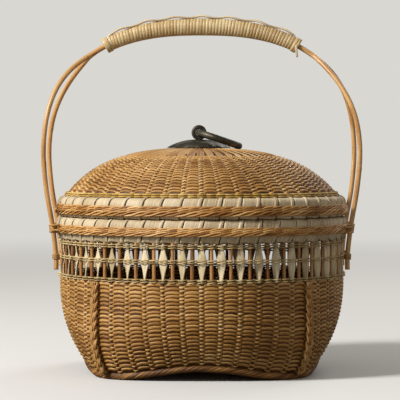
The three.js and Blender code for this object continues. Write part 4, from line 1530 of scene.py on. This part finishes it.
@dataclass(frozen=True)
class Rods:
    """The handle's two bent bamboo rods, and the lashings that bind them to the rim and the openwork."""

    arch: Arch = Arch()
    spread: float = 35.0
    skew: float = 2.4
    parting: float = 4.0
    arch_points: int = 31
    steps_per_span: int = 10
    shoulder_drop: float = 0.45
    shoulder_inset: float = 0.3
    tail: float = 9.0
    knot_pitch: float = 118.0
    knot_swell: float = 0.1
    knot_sharpness: float = 5.0
    coil_radius: float = 3.5
    coil_thickness: float = 1.1
    coil_sink: float = 0.45
    coil_lap: float = 1.02
    coil_steps: int = 16
    rim_coil: float = 9.0
    rim_turns: int = 5
    tail_coil: float = 6.0
    tail_turns: int = 4
    loops: Pairs = ((-2.4, 1.6), (0.0, -1.6), (2.4, 1.2))
    loop_spread: float = 0.085
    bow_power: float = 0.7
    loop_seat: float = 0.4
    loop_width: float = 1.5
    loop_thickness: float = 0.9
    loop_steps: int = 48

    def build(self) -> None:
        """Build the rods and their lashings."""
        for side, name, seed, knot in ((-1, "front", 115, 40.0), (1, "back", 114, 75.0)):
            line = self._line(side)
            self._rod(line, name, seed, knot)
            for end, place in ((1, "left"), (-1, "right")):
                self._lashings(line[::end], side, f"{name}_{place}", end)

    def _seat(self, ring: Ring) -> float:
        """Give the distance of a rod's axis from the middle plane where it is lashed to a ring."""
        return math.sqrt(ring.radius**2 - self.spread**2) + self.arch.clearance + self.coil_radius

    def _line(self, side: int) -> Array:
        """Bend the axis of one rod, from its left tail to its right one.

        Args:
            side: Minus one at the front, one at the back.

        Returns:
            The axis' points.
        """
        rim, tie = Ring.of("rim_braid"), Ring.of("middle_twining")
        rim_seat, tie_seat = self._seat(rim), self._seat(tie)
        half, belly = self.arch.half_width, self.arch.belly
        gap = self.arch.rod_radius + self.arch.clearance / 2
        parting = self.arch.grip_half + self.parting * self.arch.rod_radius
        turn = np.linspace(0, math.pi, self.arch_points)
        reach = np.abs(np.cos(turn)) ** (2 / self.arch.power) * half
        across = -np.sign(np.cos(turn)) * reach
        parted = np.maximum(0, (reach - parting) / (half - parting))
        lean = self.skew * np.sin(math.pi * parted)
        depth = gap + (self.spread - gap) * parted
        arch = np.stack([across + side * lean, side * depth, self.arch.height(across)], axis=-1)
        tail = np.array(
            [
                (tie_seat, tie.middle - self.tail_coil / 2 - self.tail),
                (tie_seat, tie.middle),
                (rim_seat, rim.middle),
                (
                    half - (half - rim_seat) * self.shoulder_inset,
                    belly - (belly - rim.middle) * self.shoulder_drop,
                ),
            ]
        )
        right = np.insert(tail, 1, side * self.spread, axis=1)
        left = right * (-1, 1, 1)
        return smooth_curve(np.concatenate([left, arch, right[::-1]]), self.steps_per_span)

    def _rod(self, line: Array, name: str, seed: int, start: float) -> None:
        """Make one bamboo rod with the faint rings of its nodes.

        Args:
            line: Its axis.
            name: Front or back.
            seed: Seed of its tone.
            start: Distance along it where a space of the node pitch starts.
        """
        past_knot = (run_lengths(line) - start) % self.knot_pitch - self.knot_pitch / 2
        knot = np.exp(-(past_knot**2) / self.knot_sharpness)
        thick = 2 * self.arch.rod_radius * (1 + self.knot_swell * knot)
        mesh = StrandMesh(seed)
        mesh.add(line, BACK, thick, thick, section=Section.ROUND)
        mesh.piece("rod_" + name, ROD, Body.BASKET, "handle_hoop_" + name)

    def _coil(self, mesh: StrandMesh, line: Array, middle: float, height: float, turns: int) -> None:
        """Wind a strand round a rod's tail.

        Args:
            mesh: Mesh that takes it.
            line: The rod's axis from the tail up.
            middle: Height of the coil's middle.
            height: Length of the coil.
            turns: Number of turns.
        """
        steps = self.coil_steps * turns
        pitch = height / turns
        reach = (height - pitch) / 2
        low = line[: len(line) // 3]
        axis = follow(np.linspace(middle - reach, middle + reach, steps), low[:, 2], low)
        offset = polar(np.linspace(0, turns * FULL_TURN, steps), self.coil_radius - self.coil_sink, 0.0)
        mesh.add(axis + offset, UP, self.coil_lap * pitch, self.coil_thickness)

    def _lashings(self, line: Array, side: int, name: str, end: int) -> None:
        """Bind one tail of a rod to the rim and to the openwork.

        Args:
            line: The rod's axis from that tail up.
            side: Minus one at the front, one at the back.
            name: Place of the tail.
            end: One at the left, minus one at the right.
        """
        rim, tie = Ring.of("rim_braid"), Ring.of("middle_twining")
        mesh = StrandMesh(seed=120)
        self._coil(mesh, line, rim.middle, self.rim_coil, self.rim_turns)
        turn = around(self.loop_steps)
        angle = math.atan2(side * self.spread, -end * self._seat(rim)) + self.loop_spread * np.cos(turn)
        bow = np.maximum(0, np.sin(turn)) ** self.bow_power * np.sqrt(np.abs(np.sin(turn / 2)))
        radius = rim.radius + self.loop_seat + (2 * self.coil_radius - self.loop_seat) * bow
        for lift, cross in self.loops:
            height = rim.middle + lift + cross * np.cos(turn)
            mesh.add(polar(angle, radius, height), UP, self.loop_width, self.loop_thickness, closed=True)
        mesh.piece("rim_binding_" + name, FAN, Body.BASKET, "rim_lashing_" + name)
        mesh = StrandMesh(seed=121)
        self._coil(mesh, line, tie.middle, self.tail_coil, self.tail_turns)
        mesh.piece("tail_binding_" + name, FAN, Body.BASKET, "tail_lashing_" + name)


@dataclass(frozen=True)
class Grip:
    """The cane-wrapped grip: its packing, the winding, the lacing, the end bands and the loose end."""

    arch: Arch = Arch()
    half_height: float = 7.1
    half_width: float = 5.5
    end_share: float = 0.8
    swell_power: float = 1.8
    collar: float = 8.5
    arc_stretch: float = 1.06
    margin: float = 1.1
    samples: int = 2201
    packing_span: tuple[float, float] = (0.01, 0.99)
    packing_fullness: float = 1.5
    packing_steps: int = 41
    turns: int = 60
    turn_steps: int = 22
    cane: float = 1.0
    cane_overrun: float = 0.012
    lacing_overrun: float = 0.015
    lacing_waves: int = 7
    wave_steps: int = 40
    wave_height: float = 1.7
    wave_sway: float = 1.2
    lacing_seat: float = 0.6
    lacing_width: float = 5.0
    lacing_thickness: float = 1.9
    tuck: float = 3.0
    tuck_share: float = 0.03
    band_length: float = 5.2
    band_seat: tuple[float, float] = (1.3, 1.1)
    band_lean: float = 0.5
    band_lap: float = 1.08
    band_thickness: float = 1.3
    band_steps: int = 40
    loose_start: float = 6.0
    loose_depth: float = 7.2
    loose_curl: float = 0.8
    loose_bend: float = 3.0
    loose_run: float = 1.2
    loose_sink: float = 1.0
    loose_drop: float = 11.0
    loose_width: float = 2.2
    loose_thickness: float = 0.6
    loose_steps: int = 14

    @property
    def wound_half(self) -> float:
        """Half of the winding's span."""
        return self.arch.grip_half - self.collar - self.arch.clearance

    def build(self) -> None:
        """Build the grip's pieces."""
        self._packing()
        self._winding()
        self._lacing()
        self._bands(-1, "left", 1)
        self._bands(1, "right", 2)
        self._loose_end()

    def _frames(self, share: Array, half: float) -> tuple[Array, Array, Array]:
        """Find places along the grip's middle line.

        Args:
            share: Shares of its length.
            half: Half of its span.

        Returns:
            Centres, directions along it, and directions away from the basket.
        """
        across = np.linspace(-self.margin * half, self.margin * half, self.samples)
        line = np.stack([across, 0 * across, self.arch.height(across)], axis=-1)
        marks = run_lengths(line)
        start, end = np.interp([-half, half], across, marks)
        at = start + share * (end - start)
        along = unit(follow(at, marks, unit(np.gradient(line, axis=0))))
        return follow(at, marks, line), along, np.cross(along, BACK)

    def _swell(self, share: Array) -> Array:
        """Tell how full the grip is along its length: one at the middle, less towards both ends."""
        return 1 - (1 - self.end_share) * np.abs(2 * share - 1) ** self.swell_power

    def _packing(self) -> None:
        """Lay the two packing splints inside the grip."""
        share = np.linspace(*self.packing_span, self.packing_steps)
        centre, _, up = self._frames(share, self.arch.grip_half - self.collar)
        inner = self.arch.rod_radius + self.arch.clearance
        outer = (self.half_height - self.arch.clearance) * self._swell(share)
        width = self.packing_fullness * self.half_width * self._swell(share)
        for sign, name in ((1, "top"), (-1, "bottom")):
            mesh = StrandMesh(seed=134)
            mesh.add(centre + sign * up * ((inner + outer) / 2)[:, None], BACK, width, outer - inner)
            mesh.piece("grip_packing_" + name, HOOP, Body.BASKET, "grip_filler_" + name)

    def _winding(self) -> None:
        """Wind the cane round the grip, turn beside turn."""
        steps = self.turns * self.turn_steps
        share = np.linspace(-self.cane_overrun, 1 + self.cane_overrun, steps)
        centre, along, up = self._frames(share, self.wound_half)
        turn = (FULL_TURN * np.arange(steps) / self.turn_steps)[:, None]
        swell = self._swell(share)[:, None]
        line = centre + up * (swell * self.half_height + self.cane / 2) * np.cos(turn)
        line = line + BACK * (swell * self.half_width + self.cane / 2) * np.sin(turn)
        pitch = 2 * self.wound_half * self.arc_stretch / self.turns
        mesh = StrandMesh(seed=130)
        tones = np.repeat(mesh.random.random(self.turns), self.turn_steps)[None]
        mesh.add(line, along, pitch, self.cane, section=Section.FLAT, tone=tones)
        mesh.piece("grip_cane", CANE, Body.BASKET, "grip_wrap")

    def _lacing(self) -> None:
        """Lace the wavy splint along the top of the grip."""
        steps = self.wave_steps * self.lacing_waves
        share = np.linspace(-self.lacing_overrun, 1 + self.lacing_overrun, steps)
        from_end = np.minimum(share, 1 - share) + self.lacing_overrun
        tuck = self.tuck * np.clip(1 - from_end / self.tuck_share, 0, 1)
        centre, _, up = self._frames(share, self.wound_half)
        turn = share * self.lacing_waves * FULL_TURN
        seat = self.half_height * self._swell(share) + self.cane + self.lacing_seat
        lift = seat + self.wave_height * (1 - np.cos(turn)) / 2 - tuck
        line = centre + up * lift[:, None] + BACK * (self.wave_sway * np.sin(turn))[:, None]
        mesh = StrandMesh(seed=131)
        mesh.add(line, BACK, self.lacing_width, self.lacing_thickness, section=Section.FLAT)
        mesh.piece("grip_lacing", PALE, Body.BASKET, "grip_spine")

    def _bands(self, sign: int, name: str, turns: int) -> None:
        """Close one end of the grip.

        Args:
            sign: Minus one at the left, one at the right.
            name: Left or right.
            turns: Number of bands side by side.
        """
        turn = around(self.band_steps)[:, None]
        reach = self.arch.grip_half - self.collar + self.band_length
        width, height = (
            self.end_share * half + seat
            for half, seat in zip((self.half_width, self.half_height), self.band_seat)
        )
        mesh = StrandMesh(seed=132)
        for number in range(turns):
            share = (number + 0.5) / turns * self.band_length / (2 * self.arc_stretch * reach)
            centre, along, up = self._frames(np.array([share if sign < 0 else 1 - share]), reach)
            line = centre + (sign * self.band_lean * along + up * height) * np.cos(turn)
            line = line + BACK * width * np.sin(turn)
            broad = self.band_lap * self.band_length / turns
            mesh.add(line, along, broad, self.band_thickness, closed=True, section=Section.FLAT)
        mesh.piece("grip_band_" + name, CANE, Body.BASKET, "grip_collar_" + name)

    def _loose_end(self) -> None:
        """Let the cane's loose end hang from the right end of the grip."""
        share = np.linspace(0, 1, self.loose_steps)
        start = self.arch.grip_half - self.loose_start
        front = -self.loose_depth - self.loose_curl * np.sin(self.loose_bend * share)
        height = self.arch.height(start) - self.loose_sink - self.loose_drop * share
        line = np.stack([start + self.loose_run * share, front, height], axis=-1)
        mesh = StrandMesh(seed=133)
        mesh.add(line, RIGHT, self.loose_width, self.loose_thickness, section=Section.FLAT)
        mesh.piece("grip_loose_end", PALE, Body.BASKET)


@dataclass(frozen=True)
class Lamp:
    """A soft square lamp, with its place and width in metres and its power in watts."""

    name: str
    place: tuple[float, float, float]
    width: float
    power: float

    def build(self, aim: Vector) -> None:
        """Hang the lamp.

        Args:
            aim: Point that it faces.
        """
        data = bpy.data.lights.new(self.name, "AREA")
        data.size = self.width
        data.energy = self.power
        lamp = bpy.data.objects.new(self.name, data)
        bpy.context.scene.collection.objects.link(lamp)
        lamp.location = self.place
        lamp.rotation_euler = (aim - Vector(self.place)).to_track_quat("-Z", "Y").to_euler()
        lamp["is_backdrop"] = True


@dataclass(frozen=True)
class Studio:
    """Pale floor, soft light and the camera of the photograph."""

    camera_place: tuple[float, float, float] = (-1.6, -1900.0, 203.7)
    camera_tilt: float = 1.29
    camera_lens: float = 180.0
    backdrop: str = "#d9d7d2"
    floor_tone: str = "#dedcd8"
    bounce_tone: str = "#5c5852"
    floor_width: float = 60.0
    floor_roughness: float = 0.9
    horizon_start: float = 0.7
    horizon_end: float = 3.2
    soft_tone: tuple[float, float, float, float] = (1.0, 0.95, 0.88, 1.0)
    soft_strength: float = 0.28
    aim: tuple[float, float, float] = (0.0, 0.0, 0.15)
    lamps: tuple[Lamp, ...] = (
        Lamp("key", (-2.0, -1.2, 1.6), 0.6, 100.0),
        Lamp("fill", (1.8, -1.5, 0.6), 1.6, 3.0),
        Lamp("rim", (0.9, 1.5, 1.5), 1.0, 12.0),
    )

    def build(self) -> None:
        """Build floor, light and camera."""
        bpy.context.scene.view_settings.view_transform = "Standard"
        self._floor()
        self._world()
        for lamp in self.lamps:
            lamp.build(Vector(self.aim))
        self._camera()

    def _floor(self) -> None:
        """Lay the floor, which turns into the backdrop's tone far from the basket and is clear from below."""
        bpy.ops.mesh.primitive_plane_add(size=self.floor_width, location=(0, 0, 0))
        floor = bpy.context.object
        floor.name = "floor"
        material = bpy.data.materials.new("floor")
        graph = Graph(material)
        tone = graph.blend(graph.seen_by_camera(), linear(self.bounce_tone), linear(self.floor_tone), "MIX")
        near = graph.add("BsdfPrincipled", {"Base Color": tone, "Roughness": self.floor_roughness})
        far = graph.add("Emission", {0: linear(self.backdrop)})
        place = graph.add("TexCoord").outputs["Object"]
        distance = graph.add("VectorMath", {0: place}, operation="LENGTH").outputs["Value"]
        reach = {0: distance, 1: self.horizon_start, 2: self.horizon_end}
        share = graph.add("MapRange", reach, interpolation_type="SMOOTHSTEP").outputs[0]
        above = graph.mix(share, near, far)
        below = graph.add("NewGeometry").outputs["Backfacing"]
        surface = graph.mix(below, above, graph.add("BsdfTransparent"))
        graph.add("OutputMaterial", {0: surface.outputs[0]})
        floor.data.materials.append(material)
        floor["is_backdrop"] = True

    def _world(self) -> None:
        """Give the soft light of the surroundings, and the backdrop that the camera sees."""
        world = bpy.data.worlds.new("studio")
        bpy.context.scene.world = world
        graph = Graph(world)
        soft = graph.add("Background", {0: self.soft_tone, 1: self.soft_strength})
        seen = graph.add("Background", {0: linear(self.backdrop)})
        mix = graph.mix(graph.seen_by_camera(), soft, seen)
        graph.add("OutputWorld", {0: mix.outputs[0]})

    def _camera(self) -> None:
        """Set up the camera of the photograph."""
        data = bpy.data.cameras.new("photo")
        data.lens = self.camera_lens
        camera = bpy.data.objects.new("photo", data)
        bpy.context.scene.collection.objects.link(camera)
        camera.location = Vector(self.camera_place) * MM
        camera.rotation_euler = (math.radians(90 - self.camera_tilt), 0, 0)
        bpy.context.scene.camera = camera


@dataclass(frozen=True)
class KeptNodes:
    """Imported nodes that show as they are, under their own finishes."""

    finishes: tuple[tuple[str, Finish], ...] = (
        ("rim_hoop", HOOP),
        ("lid_hoop", HOOP),
        ("pull_washer", METAL),
    )

    def build(self) -> None:
        """Dress the nodes."""
        for name, finish in self.finishes:
            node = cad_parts[name]
            node.data.materials.clear()
            node.data.materials.append(finish.material())
            log.info("%s: kept", name)


def corners() -> list[list[float]]:
    """Give the lowest and the highest corner of the shown object, in metres."""
    return [list(corner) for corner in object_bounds()]


def main() -> None:
    """Build every part of the scene."""
    logging.basicConfig(level=logging.INFO, format="%(message)s")
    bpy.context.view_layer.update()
    for part in (KeptNodes(), LowerWall(), Openwork(), Rim(), Lid(), RingPull(), Rods(), Grip(), Studio()):
        log.info("building %s", type(part).__name__)
        part.build()


if __name__ == "__main__":
    main()
